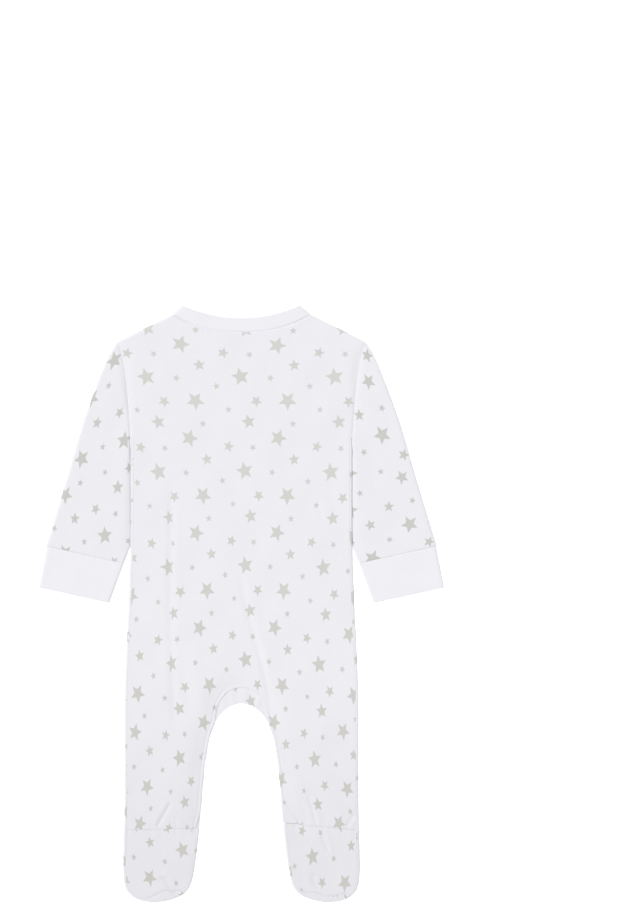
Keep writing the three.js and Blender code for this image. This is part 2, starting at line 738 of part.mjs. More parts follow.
// Cuts a round hole through a solid at each place.
function cutHoles(geometry, places) {
  const solidOf = (g) => {
    const bare = g.clone().deleteAttribute("normal").deleteAttribute("uv");
    const merged = mergeVertices(bare, 1e-4);
    const triVerts = new Uint32Array(merged.index.array);
    return new wasm.Manifold(
      new wasm.Mesh({ numProp: 3, vertProperties: merged.attributes.position.array, triVerts }),
    );
  };
  let solid = solidOf(geometry);
  for (const { x, y } of places) {
    const drill = new THREE.CylinderGeometry(popper.hole, popper.hole, drillLength, popper.sides);
    drill.rotateX(Math.PI / 2).translate(x, y, 0);
    solid = solid.subtract(solidOf(drill));
  }
  const { vertProperties, triVerts } = solid.getMesh();
  const cut = new THREE.BufferGeometry();
  cut.setAttribute("position", new THREE.Float32BufferAttribute(vertProperties, 3));
  cut.setIndex([...triVerts]);
  return cut;
}

// Colours of the cloth and the poppers
const materials = {
  jersey: { color: 0xedecf1, roughness: 0.9, metalness: 0 },
  ribbing: { color: 0xefeef3, roughness: 0.92, metalness: 0 },
  popper: { color: 0xf2f2f0, roughness: 0.35, metalness: 0 },
};

const sleepsuit = new THREE.Group();

function add(name, geometry, finish) {
  geometry.computeVertexNormals();
  const mesh = new THREE.Mesh(geometry, new THREE.MeshStandardMaterial(materials[finish]));
  mesh.name = name;
  sleepsuit.add(mesh);
}

const places = popperPlaces();
const legPlaces = (side) => places.filter((p) => p.name.startsWith(`leg_${side}`));
const frontPlaces = places.filter((p) => p.name.startsWith("front"));

add("back", backGeometry(), "jersey");
for (const side of ["left", "right"]) {
  add(`front_${side}`, cutHoles(frontGeometry(side), legPlaces(side)), "jersey");
  add(`sole_${side}`, soleGeometry(side), "jersey");
  add(`sleeve_${side}`, sleeveGeometry(side), "jersey");
  add(`cuff_${side}`, cuffGeometry(side), "ribbing");
}
add("neckband", tubeSolid(neckbandGrid, "right", ribbing), "ribbing");

const outerLine = innerLegStripPoints();
const innerLine = shiftAll(outerLine, normals(outerLine).map((n) => n.negate()), stripWidth);
const popperStrip = stripGeometry(outerLine, innerLine, stripLevel);
const stripHoles = [...legPlaces("left"), ...legPlaces("right")];
add("inner_leg_strip", cutHoles(popperStrip, stripHoles), "jersey");

const placket = (top, bottom, level) => {
  const rows = span(8, top, bottom);
  const edge = (x) => rows.map((y) => new THREE.Vector2(x, y));
  return stripGeometry(edge(placketHalfWidth), edge(-placketHalfWidth), level);
};
const overBottom = crotchY + seam;
const underBottom = crotchY + stripWidth + seam;
add("placket_over", cutHoles(placket(frontBandTopY, overBottom, 0), frontPlaces), "jersey");
add("placket_under", cutHoles(placket(frontBandTopY, underBottom, stripLevel), frontPlaces), "jersey");

for (const { name, x, y } of places) {
  add(`popper_${name}`, popperGeometry().translate(x, y, 0), "popper");
}

export default sleepsuit;
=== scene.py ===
"""A footed baby sleepsuit of white cotton jersey with grey stars, laid flat with its back up."""

import math
import bpy
import numpy as np
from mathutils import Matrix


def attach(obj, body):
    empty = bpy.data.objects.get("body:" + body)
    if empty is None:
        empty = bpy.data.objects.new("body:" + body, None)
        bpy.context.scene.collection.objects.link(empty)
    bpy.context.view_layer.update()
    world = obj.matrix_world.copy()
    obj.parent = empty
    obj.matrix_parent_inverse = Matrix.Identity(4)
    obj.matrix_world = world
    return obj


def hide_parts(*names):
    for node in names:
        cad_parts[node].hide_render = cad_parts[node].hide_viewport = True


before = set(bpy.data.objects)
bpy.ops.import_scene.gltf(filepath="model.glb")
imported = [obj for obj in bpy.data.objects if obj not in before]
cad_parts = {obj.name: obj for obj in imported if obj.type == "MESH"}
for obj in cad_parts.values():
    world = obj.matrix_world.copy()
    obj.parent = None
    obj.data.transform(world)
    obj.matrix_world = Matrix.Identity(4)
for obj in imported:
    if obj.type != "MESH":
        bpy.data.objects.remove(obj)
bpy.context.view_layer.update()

# Millimetres for the cutting sizes, as a maker writes them, and metres for the meshes
mm = 0.001

# Cloth and layers
jersey = 1.2
ribbing = 1.8
seam = 0.05
layer_gap = 0.1
body_height = 5.6
cuff_height = 5.0
roll = body_height / 2
side_flat = 0.62  # how far the fold at the side stands out, as a share of a round one
strip_level = jersey + layer_gap
strip_top = strip_level + jersey
edge_radius = body_height - strip_top - layer_gap

# Heights on the garment, from the middle of its length
underarm_y = 157.6
thigh_y = -112.0
crotch_y = -95.0
back_crotch_y = -79.8
ankle_y = -214.7
neck_seam_y = 257.6
front_neck_seam_y = 222.0
band_top_y = 271.3
band_width = 13.0
band_way = np.array((-0.5, 0.85)) / math.hypot(0.5, 0.85)  # from the shoulder up along the band's fold
front_band_top_y = 236.0

# Corners of the right half
neck_point = np.array((65.8, 274.8))
horn_tip = np.array((56.0, 283.5))
shoulder_tip = np.array((117.8, 248.8))
cuff_seam_outer = np.array((184.9, 54.8))
cuff_seam_inner = np.array((111.6, 38.3))
cuff_end_outer = np.array((192.6, 15.1))
cuff_end_inner = np.array((125.4, 0.5))

# Outer side of the body and leg: height, half width
SIDE = ((157.6, 105.1), (148, 105.4), (50, 105.6), (0, 107.4), (-50, 109.8), (-88, 111.2),
        (-180, 111.2), (-214.7, 111.7))
# Inner side of the leg below the arch of the crotch: height, distance from the middle
INNER = ((-128, 30.4), (-151, 34.3), (-185, 37.5), (-214.7, 40))
arch_half_width, arch_height, arch_middle_y = 32.0, 48.0, -143.0
arch_clear = 3.0  # above the leg's inner side, where the strip's line goes over to the arch
arch_fullness = 0.92  # below 1, the back's arch is squarer than a round one
reveal_curve = 1.3  # above 1, the back's edge leaves the outline slowly at first
# Curve of the armhole below the shoulder, down to the underarm: across, up
ARMHOLE = ((110, 229), (107.4, 192), (105.5, 157.6))
# Inner line of the sleeve below the armhole, and its outer line from the shoulder to the cuff: across, up
SLEEVE_INNER = ((105.9, 151), (107.6, 49))
SLEEVE_OUTER = ((125.3, 236.8), (132.8, 219.8), (149.8, 174.3), (167.5, 114.4))
sleeve_inner_start = (105.6, underarm_y)
sleeve_outer_end = cuff_seam_outer + (0.6, 0.2)
SLEEVE_BESIDE = (138, 100, 60)  # heights where the sleeve lies against the body
# Outline of the foot from the ankle's outer side round the toe to its inner side: across, up
FOOT = ((111.7, -214.7), (112.6, -250), (110.3, -269.5), (100.5, -280), (84, -283.5), (67, -281.2),
        (53.5, -274.5), (46.8, -262.5), (42.6, -238), (40, -214.7))
# How far the front is turned over each toe: distance from the middle, then how far
TOE_FLAP = {
    "left": ((46, 0), (58, 2.6), (70, 7.2), (80, 4.6), (90, 0.4), (98, 0), (108, 0)),
    "right": ((46, 0), (58, 1.8), (70, 5.2), (80, 3), (90, 3.4), (98, 3), (108, 0)),
}
toe_flap_y = -262.0
# Ankle seam's inner end, the height where the back's edge leaves the outline, and how far it goes in
ANKLES = {
    "left": {"sign": -1, "inner_y": -213.0, "reveal_from": -196.0, "reveal": 3.0},
    "right": {"sign": 1, "inner_y": -208.0, "reveal_from": -184.0, "reveal": 12.0},
}
strip_width = 16.0
strip_tuck = 1.0  # how far the strip's ends reach under the foot's cloth
front_tuck = 0.6  # how far above the ankle seam the front's inner leg ends
front_poppers = np.linspace(229, -58, 6)
leg_poppers = np.linspace(-120, -186, 4)
dimple = {"height": 0.85, "radius": 4.8, "ease": 3.0}  # how the cloth rises round a popper
placket_half_width = 8.0
opening_x = placket_half_width + seam

# Creases of the upper layer: the places that a curve runs through, depth and half width
CREASES = (
    (((-66.5, 124), (-67, 60), (-67.5, 0), (-66, -60), (-62, -128)), -0.75, 3.4),
    (((-60, 110), (-60.5, 40), (-60, -40)), 0.2, 5.0),
    (((-2.4, 34), (5, -2), (12, -30), (19.2, -53.7), (23.3, -72.7), (26.1, -86), (29, -106.9)), -1.0, 2.4),
    (((8, 14), (19, -28), (29, -66)), 0.4, 5.0),
    (((-47, -36), (-43, -66), (-38, -95)), 0.6, 7.0),
    (((-57, -60), (-52, -84), (-47, -108)), -0.4, 5.0),
    (((72.5, 98), (73.4, 92), (77, 79)), -0.6, 1.8),
    (((72, 52), (82, 51), (95, 43)), -0.6, 1.8),
    (((113, 243), (110, 226), (108, 205), (107, 180)), -0.9, 3.6),
    (((-113, 243), (-109, 226), (-108, 205), (-107, 180)), -0.9, 3.6),
    (((-66, -187.6), (-71.5, -197), (-76, -205), (-81, -213.3)), -1.1, 1.6),
    (((-70, -186), (-76, -197), (-83, -209)), 0.4, 3.0),
    (((-62, -200), (-62, -210), (-61.4, -222)), -0.4, 1.6),
    (((63.2, -181), (67.4, -193), (70, -204), (71.7, -214)), -1.1, 1.5),
    (((67, -182), (71.5, -195), (75, -210)), 0.45, 2.6),
    (((56, -189), (60, -199), (63, -210)), -0.4, 2.2),
    (((76.5, -220), (79.5, -228), (83.1, -236)), -1.1, 1.5),
    (((80, -219), (83.5, -227), (87, -236)), 0.4, 2.2),
    (((107.8, -199), (104, -205), (99.3, -212.3)), -1.0, 1.5),
    (((57, -244), (58, -256), (60, -268)), -0.35, 2.4),
    (((75, -108), (77, -160), (76, -205)), 0.3, 8.0),
    (((-78.4, -259.8), (-71.7, -262.7), (-67, -270.3), (-59.4, -276)), -1.2, 1.7),
    (((-76, -255), (-68, -259), (-61, -268)), 0.45, 3.0),
    (((69, -256), (68.6, -263), (74.6, -269.5)), -1.0, 2.0),
    (((86, 222), (60, 214), (30, 216)), -0.15, 9.0),
    (((-94, 200), (-88, 150), (-90, 90)), -0.2, 8.0),
    (((92, 180), (88, 120), (93, 60)), -0.2, 8.0),
    (((40, 150), (30, 90), (34, 40)), 0.2, 12.0),
    (((-20, 140), (-24, 70), (-16, 0)), 0.2, 13.0),
    (((134, 200), (140, 150), (150, 100)), -0.25, 7.0),
    (((124, 170), (126, 120), (132, 76)), -0.25, 6.0),
    (((-134, 200), (-140, 150), (-150, 100)), -0.25, 7.0),
    (((-122, 172), (-125, 120), (-130, 76)), -0.2, 6.0),
    (((118, 62), (134, 66), (152, 76)), -0.25, 4.0),
    (((-118, 62), (-132, 68), (-150, 78)), -0.25, 4.0),
)
crease_points = 24  # steps along each crease
crease_fade = 0.14  # share of its length over which a crease fades out at each end

# Creases of the lower layer, which lift it a little from what it lies on
UNDER_CREASES = (
    (((60, 150), (66, 60), (58, -30)), 0.5, 8.0),
    (((-54, 130), (-62, 40), (-56, -50)), 0.5, 7.0),
    (((30, -20), (48, -50), (60, -96)), 0.55, 6.0),
    (((-34, 10), (-46, -40), (-66, -90)), 0.5, 6.0),
    (((80, -150), (74, -190), (84, -230)), 0.5, 5.0),
    (((-80, -140), (-86, -190), (-78, -236)), 0.5, 5.0),
    (((84, 210), (72, 190), (40, 178)), 0.45, 7.0),
)

# Where the foot's cloth dips to the strip at the ankle's inner end
ANKLE_DIPS = {
    "left": ((((-38, -213.4), (-42, -213.6), (-48, -213.8)), -1.6, 3.0),),
    "right": ((((36, -208.4), (44, -208.8), (54, -209.8)), -2.2, 3.2),),
}

# Short creases of the strip that shows at the crotch, which run out from the gap between the legs
STRIP_CREASES = (
    (((-15, -102), (-20, -90), (-24, -80)), 0.5, 2.4),
    (((-7, -97), (-9, -88), (-11, -80)), 0.45, 2.0),
    (((3, -96), (3, -88), (4, -80)), 0.35, 2.2),
    (((14, -100), (17, -90), (20, -82)), 0.5, 2.4),
    (((42, -190), (48, -196), (54, -204)), 0.4, 2.4),
)

# Gentle waves of the whole cloth: wave length across and up, where it starts, height
WAVES = ((71.0, 163.0, 0.6, 0.16), (-43.0, 97.0, 2.1, 0.13), (118.0, -59.0, 4.0, 0.14),
         (29.0, 61.0, 1.2, 0.05))

# Puckers along the gathered seams: distance between them, height, how far they fade and end, and how
# uneven they are along the seam and in height
pucker = {"pitch": 7.5, "height": 0.25, "reach": 9.0, "end": 30.0, "wander": 1.7, "vary": 0.4}


def smooth_read(table, at):
    """Smooth value of a table's second column at values of its first."""
    keys, values = np.array(sorted(table), dtype=float).T
    rises = np.diff(values) / np.diff(keys)
    slopes = np.concatenate([rises[:1], (values[2:] - values[:-2]) / (keys[2:] - keys[:-2]), rises[-1:]])
    i = np.clip(np.searchsorted(keys, at) - 1, 0, len(keys) - 2)
    step = keys[i + 1] - keys[i]
    t = np.clip((at - keys[i]) / step, 0, 1)
    rise = values[i + 1] - values[i]
    bend = (1 - t) * (slopes[i] * step - rise) - t * (slopes[i + 1] * step - rise)
    return values[i] + rise * t + t * (1 - t) * bend


def curve_through(points, fractions):
    """Places at fractions of the length of a smooth curve through points."""
    p = np.array(points, dtype=float)
    padded = np.vstack([p[:1], p, p[-1:]])
    t = np.linspace(0, 1, 30, endpoint=False)[:, None]
    parts = []
    for p0, p1, p2, p3 in zip(padded, padded[1:], padded[2:], padded[3:]):
        v0, v1 = (p2 - p0) / 2, (p3 - p1) / 2
        cubic = (2 * p1 - 2 * p2 + v0 + v1) * t ** 3 + (3 * p2 - 3 * p1 - 2 * v0 - v1) * t ** 2
        parts.append(cubic + v0 * t + p1)
    line = np.vstack([*parts, p[-1:]])
    return along(line, fractions)


def along(line, fractions):
    """Places at fractions of the length of a line of points."""
    lengths = np.concatenate([[0], np.cumsum(np.linalg.norm(np.diff(line, axis=0), axis=1))])
    at = np.asarray(fractions) * lengths[-1]
    return np.column_stack([np.interp(at, lengths, line[:, k]) for k in range(line.shape[1])])


def between(a, b, fractions):
    return np.asarray(a) + np.asarray(fractions)[:, None] * (np.asarray(b) - np.asarray(a))


def normals(points):
    """Unit normals of a line of points, on its left as it runs."""
    way = np.vstack([points[1:], points[-1:]]) - np.vstack([points[:1], points[:-1]])
    left = np.column_stack([-way[:, 1], way[:, 0]])
    return left / np.linalg.norm(left, axis=1)[:, None]


def mirrored(points):
    return points * np.array((-1.0, 1.0))


def side_x(y):
    return smooth_read(SIDE, y)


def inner_x(y):
    y = np.asarray(y, dtype=float)
    inside = np.clip(1 - ((y - arch_middle_y) / arch_height) ** 2, 0, 1)
    return np.where(y < INNER[0][0], smooth_read(INNER, y), arch_half_width * np.sqrt(inside))


# Fractions along a line, closer together beside a seam
FINE = (0, 0.6, 1.3, 2.2, 3.4)
# The same beside a rim that is rounded over
RIM = (0, 0.12, 0.35, 0.75, 1.3, 2.2, 3.4)
rim_radius = 0.9


def spread(count, length, start=False, end=False, rim=False):
    head = [d / length for d in FINE] if start else [0]
    tail = [1 - d / length for d in reversed(RIM if rim else FINE)] if end else [1]
    return np.array([*head, *np.linspace(head[-1], tail[0], count + 1)[1:-1], *tail])


def chord_fractions(points):
    lengths = np.concatenate([[0], np.cumsum(np.linalg.norm(np.diff(points, axis=0), axis=1))])
    return lengths / lengths[-1]


def patch(first, last, start, end):
    """A grid of places between four border lines, row by row from the first to the last."""
    u = (chord_fractions(first) + chord_fractions(last))[None, :, None] / 2
    v = (chord_fractions(start) + chord_fractions(end))[:, None, None] / 2
    rows = (1 - v) * first[None] + v * last[None]
    columns = (1 - u) * start[:, None] + u * end[:, None]
    corners = (1 - v) * ((1 - u) * first[0] + u * first[-1]) + v * ((1 - u) * last[0] + u * last[-1])
    return rows + columns - corners


def relaxed(grid, rounds):
    """The same grid with its inner places drawn evenly between their neighbours."""
    for _ in range(rounds):
        inner = grid[:-2, 1:-1] + grid[2:, 1:-1] + grid[1:-1, :-2] + grid[1:-1, 2:]
        grid[1:-1, 1:-1] = inner / 4
    return grid


class Grid:
    """Places of a piece of cloth, row by row, with where each lies on the flat cloth."""

    def __init__(self, places, flat=None, turned=False):
        self.places = np.asarray(places, dtype=float)
        self.flat = self.places[..., :2].copy() if flat is None else np.asarray(flat, dtype=float)
        self.turned = turned

    def mirrored(self):
        places = self.places * np.array((-1.0, 1.0, 1.0))
        return Grid(places, self.flat * np.array((-1.0, 1.0)), not self.turned)


def on_side(side, *grids):
    """The right half's grids, or their mirrored forms for the left half."""
    return [grid if side == "right" else grid.mirrored() for grid in grids]


def level(plan, z, turned=False):
    return Grid(np.dstack([plan, np.full(plan.shape[:2], z)]), turned=turned)


def round_edge(radius, bottom, start, end, steps):
    """Part of a round edge from one angle to another, as distance in and height. 0 is underneath."""
    a = np.radians(np.linspace(start, end, steps + 1))
    return np.column_stack([radius - radius * np.sin(a), bottom + radius - radius * np.cos(a)])


def edge_strip(points, inward, profile, start_in, turned=False):
    """A strip along an edge that bends the cloth over it. The profile has a row of distances and
    heights for each step, and start_in is how far in the flat cloth ends."""
    distance, height = profile[..., 0], profile[..., 1]
    if distance.ndim == 1:
        distance = np.repeat(distance[:, None], len(points), axis=1)
        height = np.repeat(height[:, None], len(points), axis=1)
    plan = points[None] + distance[..., None] * inward[None]
    steps = np.hypot(np.diff(distance, axis=0), np.diff(height, axis=0))
    gone = np.vstack([np.zeros(len(points)), np.cumsum(steps, axis=0)])
    flat = points[None] + (start_in - gone)[..., None] * inward[None]
    return Grid(np.dstack([plan, height]), flat, turned)


def distance_to(line, places):
    """Distance from places to a line of points, and how far along it the nearest point is."""
    best = np.full(len(places), np.inf)
    at = np.zeros(len(places))
    for i, (a, b) in enumerate(zip(line, line[1:])):
        way = b - a
        t = np.clip(((places - a) @ way) / max(way @ way, 1e-9), 0, 1)
        d = np.linalg.norm(places - a - t[:, None] * way, axis=1)
        nearer = d < best
        best[nearer] = d[nearer]
        at[nearer] = (i + t[nearer]) / (len(line) - 1)
    return best, at


def crease_height(table, places):
    height = np.zeros(len(places))
    for points, depth, width in table:
        line = curve_through(points, np.linspace(0, 1, crease_points + 1))
        low, high = line.min(0) - 3 * width, line.max(0) + 3 * width
        near = np.all((places > low) & (places < high), axis=1)
        if near.any():
            distance, at = distance_to(line, places[near])
            fade = np.clip(np.minimum(at, 1 - at) / crease_fade, 0, 1)
            height[near] += depth * fade * fade * (3 - 2 * fade) * np.exp(-((distance / width) ** 2))
    return height


def wave_height(places):
    x, y = places.T
    return sum(h * np.sin(2 * math.pi * (x / across + y / up) + start) for across, up, start, h in WAVES)


# Seam lines of the right half
def armhole(fractions):
    t = np.asarray(fractions, dtype=float)[:, None]
    weights = ((1 - t) ** 3, 3 * t * (1 - t) ** 2, 3 * t ** 2 * (1 - t), t ** 3)
    return sum(w * np.array(c) for w, c in zip(weights, (shoulder_tip, *ARMHOLE)))


def shallow_neck(edge, middle_y, share):
    share = np.asarray(share)
    return np.column_stack([edge[0] * share, middle_y + (edge[1] - middle_y) * share ** 2])


def deep_neck(edge, middle_y, share):
    a = np.linspace(0, math.acos(opening_x / edge[0]), 60)
    line = np.column_stack([edge[0] * np.cos(a), edge[1] - (edge[1] - middle_y) * np.sin(a)])
    return along(line, 1 - np.asarray(share))


NECK = {
    "back": {"line": shallow_neck, "seam_y": neck_seam_y, "top_y": band_top_y, "columns": 38, "sag": 1.3},
    "front": {"line": deep_neck, "seam_y": front_neck_seam_y, "top_y": front_band_top_y, "columns": 27,
              "sag": 0.0},
}
fold_share = 1 - roll / horn_tip[0]
armhole_shares = (0.044, 0.994)  # shares of the armhole between the shoulder's fold and the side
shoulder_turn = 0.08  # share of the armhole that gives the way in from the shoulder edge


def neckline(layer, distance):
    """The neckline from the fold to the middle, moved up for the band and down for the panel. It sags
    most at two thirds of the way out, where 6.75 times the product is 1."""
    neck = NECK[layer]
    shares = np.array([1, *np.linspace(fold_share, 0, neck["columns"] + 1)])
    points = neck["line"](neck_point, neck["seam_y"], shares)
    points[:, 1] -= neck["sag"] * 6.75 * shares ** 2 * (1 - shares)
    return (points - distance * normals(points))[1:]


def shoulder_edge(fractions, layer):
    """The shoulder edge of a panel from the arm to the neck, with the way in from it."""
    way = neck_point - shoulder_tip
    way = way / np.linalg.norm(way)
    ends = (shoulder_tip + way * seam / 2, neck_point - way * seam / 2)
    arm = armhole([shoulder_turn])[0] + way * seam / 2 - ends[0]
    arm *= roll / np.linalg.norm(arm)
    neck = neckline(layer, -seam / 2)[0] - ends[1]
    return between(*ends, fractions), between(arm, neck, fractions) / roll


def armhole_border(first, fractions, last):
    start, end = armhole_shares
    places = armhole(start + np.asarray(fractions) * (end - start))
    inset = places - normals(places) * seam / 2
    inset[0] = first
    return np.vstack([inset, last])


FOOT_PARTS = (0, 0.3, 0.7, 1)  # shares of the foot's outline at the heel's end, toe and back


def side_outline(torso_y, leg_y, foot):
    """Outline of the side, leg and foot, with the way in from it."""
    y = np.concatenate([torso_y, leg_y[1:]])
    points = np.column_stack([side_x(y), y])
    if foot is not None:
        points = np.vstack([points, curve_through(FOOT, foot)[1:]])
    return points, -normals(points)


def foot_fractions(rows, columns):
    ends = FOOT_PARTS
    parts = [ends[0] + rows * (ends[1] - ends[0]), ends[1] + columns * (ends[2] - ends[1]),
             ends[2] + rows * (ends[3] - ends[2])]
    return np.concatenate([parts[0], parts[1][1:], parts[2][1:]])


def toe_flap(points, side):
    flap = np.maximum(smooth_read(TOE_FLAP[side], points[:, 0]), 0)
    return np.where(points[:, 1] < toe_flap_y, flap, 0)


def ankle_line(side, inner, outer, fractions, drop):
    """The ankle seam runs straight from its inner end down to the outer side."""
    points = between(outer, inner, fractions)
    inner_y = ANKLES[side]["inner_y"]
    share = (FOOT[0][0] - points[:, 0]) / (FOOT[0][0] - inner_x(inner_y))
    points[:, 1] = ankle_y + (inner_y - ankle_y) * share - drop
    return points


# Rows and columns of the meshes
torso_rows = np.linspace(underarm_y, thigh_y, 105)
leg_fractions = spread(66, 103, end=True)
across_fractions = spread(48, 82, start=True)
shoulder_fractions = spread(25, 58, start=True)
armhole_fractions = spread(32, 92, start=True)
arch_steps = 30
strip_steps = {"leg": 36, "arch": 26, "across": 7, "placket": 110}
flap_rows = (0.35, 0.7, 1)
foot_rows = spread(18, 60, start=True)
toe_columns = np.linspace(0, 1, 31)
relax_rounds = 60  # on the front's grid, which would fold over at the underarm without them
sleeve_columns = np.array([*np.linspace(0, 0.16, 9), *np.linspace(0.16, 1, 26)[1:]])


def arch_points(count, end_x):
    start = math.asin(float(inner_x(thigh_y)) / arch_half_width)
    a = np.linspace(start, math.asin(end_x / arch_half_width), count + 1)
    return np.column_stack([arch_half_width * np.sin(a), arch_middle_y + arch_height * np.cos(a)])


def back_inner_leg(side):
    ankle = ANKLES[side]
    low = ankle["inner_y"] + seam
    y = low + (thigh_y - low) * (1 - leg_fractions[::-1])
    gone = np.maximum(0, (ankle["reveal_from"] - y) / (ankle["reveal_from"] - ankle["inner_y"]))
    return np.column_stack([inner_x(y) + ankle["reveal"] * gone ** reveal_curve, y])


def back_edge():
    """The back's inner edge, from the right ankle round the crotch to the left ankle."""
    width = float(inner_x(thigh_y))
    a = np.linspace(0, math.pi, arch_steps + 1)
    rise = (back_crotch_y - thigh_y) * np.sin(a) ** arch_fullness
    over = np.column_stack([width * np.cos(a), thigh_y + rise])
    return np.vstack([back_inner_leg("right")[:-1], over, mirrored(back_inner_leg("left"))[::-1][1:]])


def back_panel():
    """One piece with both legs down to the ankle seams."""
    inset = roll + seam
    leg_y = thigh_y + (ankle_y - thigh_y) * leg_fractions
    points, inward = side_outline(torso_rows, leg_y, None)
    border = points + inset * inward
    torso_side, leg_side = border[:len(torso_rows)], border[len(torso_rows) - 1:]

    shoulder, way_in = shoulder_edge(shoulder_fractions, "back")
    shoulder_in = shoulder + roll * way_in
    right_top = np.vstack([shoulder_in, neckline("back", -seam / 2)[1:]])
    top = np.vstack([mirrored(right_top), right_top[::-1][1:]])
    right_side = armhole_border(shoulder_in[0], armhole_fractions, torso_side[0])
    right_side = np.vstack([right_side, torso_side[1:]])

    edge = back_edge()
    edge_way = -normals(edge)
    edge_in = edge + edge_radius * edge_way
    rows = len(leg_y)
    right_inner = edge_in[:rows][::-1]
    arch_in = edge_in[rows - 1:rows + arch_steps]
    left_inner = mirrored(edge_in[rows + arch_steps - 1:])

    thighs = {"right": between(leg_side[0], arch_in[0], across_fractions),
              "left": between(leg_side[0], mirrored(arch_in)[-1], across_fractions)}
    bottom = np.vstack([mirrored(thighs["left"])[:-1], arch_in[::-1], thighs["right"][::-1][1:]])
    grids = [level(patch(top, bottom, mirrored(right_side), right_side), body_height, True)]
    for side, inner in (("right", right_inner), ("left", left_inner)):
        ankle = ankle_line(side, inner[-1], leg_side[-1], across_fractions, -seam)
        outer_line = np.vstack([leg_side[:-1], ankle[:1]])
        inner_line = np.vstack([inner[:-1], ankle[-1:]])
        leg = level(patch(thighs[side], ankle, outer_line, inner_line), body_height)
        grids += on_side(side, leg)

    turn_down = round_edge(edge_radius, body_height - 2 * edge_radius, 180, 90, 5)
    grids.append(edge_strip(edge, edge_way, turn_down, edge_radius))
    shoulder_roll = round_edge(roll, 0, 180, 90, 6)
    shoulder_roll[:, 1] = np.maximum(shoulder_roll[:, 1], roll + seam / 2)
    strip = edge_strip(shoulder, way_in, shoulder_roll, roll, True)
    return [*grids, strip, strip.mirrored()]


def front_panel(side):
    """One half of the front with its leg and the foot's upper, rolled up at the side to the seams."""
    inner_ankle_y = ANKLES[side]["inner_y"]
    leg_y = thigh_y + (ankle_y - thigh_y) * leg_fractions
    foot = foot_fractions(foot_rows, toe_columns)
    points, inward = side_outline(torso_rows, leg_y, foot)
    points[-1, 1] = inner_ankle_y
    border = points + roll * inward
    t, l, f, c = len(torso_rows) - 1, len(leg_y) - 1, len(foot_rows) - 1, len(toe_columns) - 1

    shoulder, way_in = shoulder_edge(shoulder_fractions, "front")
    shoulder_in = shoulder + roll * way_in
    top = np.vstack([shoulder_in, neckline("front", -seam / 2)[1:]])
    outer = np.vstack([armhole_border(shoulder_in[0], armhole_fractions, border[0]), border[1:t + 1]])

    inner_y = thigh_y + (inner_ankle_y + front_tuck - thigh_y) * leg_fractions
    inner_leg = np.column_stack([inner_x(inner_y) + seam, inner_y])
    leg_top = between(border[t], inner_leg[0], toe_columns)
    crotch = arch_points(len(top) - 1 - c, opening_x) + np.array((0, seam))
    bottom = np.vstack([leg_top, crotch[1:]])
    middle = between(top[-1], crotch[-1], chord_fractions(outer))

    inner_leg[-1] = border[-1]
    ankle = between(border[t + l], border[-1], toe_columns)
    legs = slice(t, t + l + 1)
    heel = border[t + l:t + l + f + 1]
    toe = border[t + l + f:t + l + f + c + 1]
    inner_foot = border[t + l + f + c:][::-1]

    curve = [(roll, 0), *(round_edge(roll, 0, 0, 180, 12) * (side_flat, 1)), (roll, body_height)]
    flap = toe_flap(points, side)
    rows = [np.column_stack([np.full(len(points), d), np.full(len(points), z)]) for d, z in curve]
    for share in flap_rows:
        rows.append(np.column_stack([roll + flap * share, np.full(len(points), body_height)]))
    shoulder_roll = round_edge(roll, 0, 0, 90, 6) * np.array((1, 1 - seam / body_height))
    grids = [
        level(relaxed(patch(top, bottom, outer, middle), relax_rounds), 0, True),
        level(patch(leg_top, ankle, border[legs], inner_leg), 0, True),
        level(patch(ankle, toe, heel, inner_foot), 0, True),
        edge_strip(points, inward, np.array(rows), roll, True),
        edge_strip(shoulder, way_in, shoulder_roll, roll),
    ]
    return on_side(side, *grids)


def sole_panel(side):
    """The piece on top of the foot between the ankle seam and the toe seam."""
    rows, columns = spread(38, 60, True, True), spread(42, 66, True, True)
    foot = foot_fractions(rows, columns)
    points = curve_through(FOOT, foot)
    points[-1, 1] = ANKLES[side]["inner_y"]
    border = points - normals(points) * (roll + seam + toe_flap(points, side))[:, None]
    r, c = len(rows) - 1, len(columns) - 1
    outer, toe, inner = border[:r + 1], border[r:r + c + 1], border[r + c:][::-1]
    ankle = ankle_line(side, inner[0], outer[0], columns, seam)
    outer[0], inner[0] = ankle[0], ankle[-1]
    grid = level(patch(ankle, toe, outer, inner), body_height)
    return on_side(side, grid)


def rim_drop(from_end):
    """How far the cloth has turned over towards a rounded rim."""
    short = np.clip(rim_radius - from_end, 0, rim_radius)
    return rim_radius - np.sqrt(rim_radius ** 2 - short ** 2)


def smooth_step(t):
    t = np.clip(t, 0, 1)
    return t * t * (3 - 2 * t)


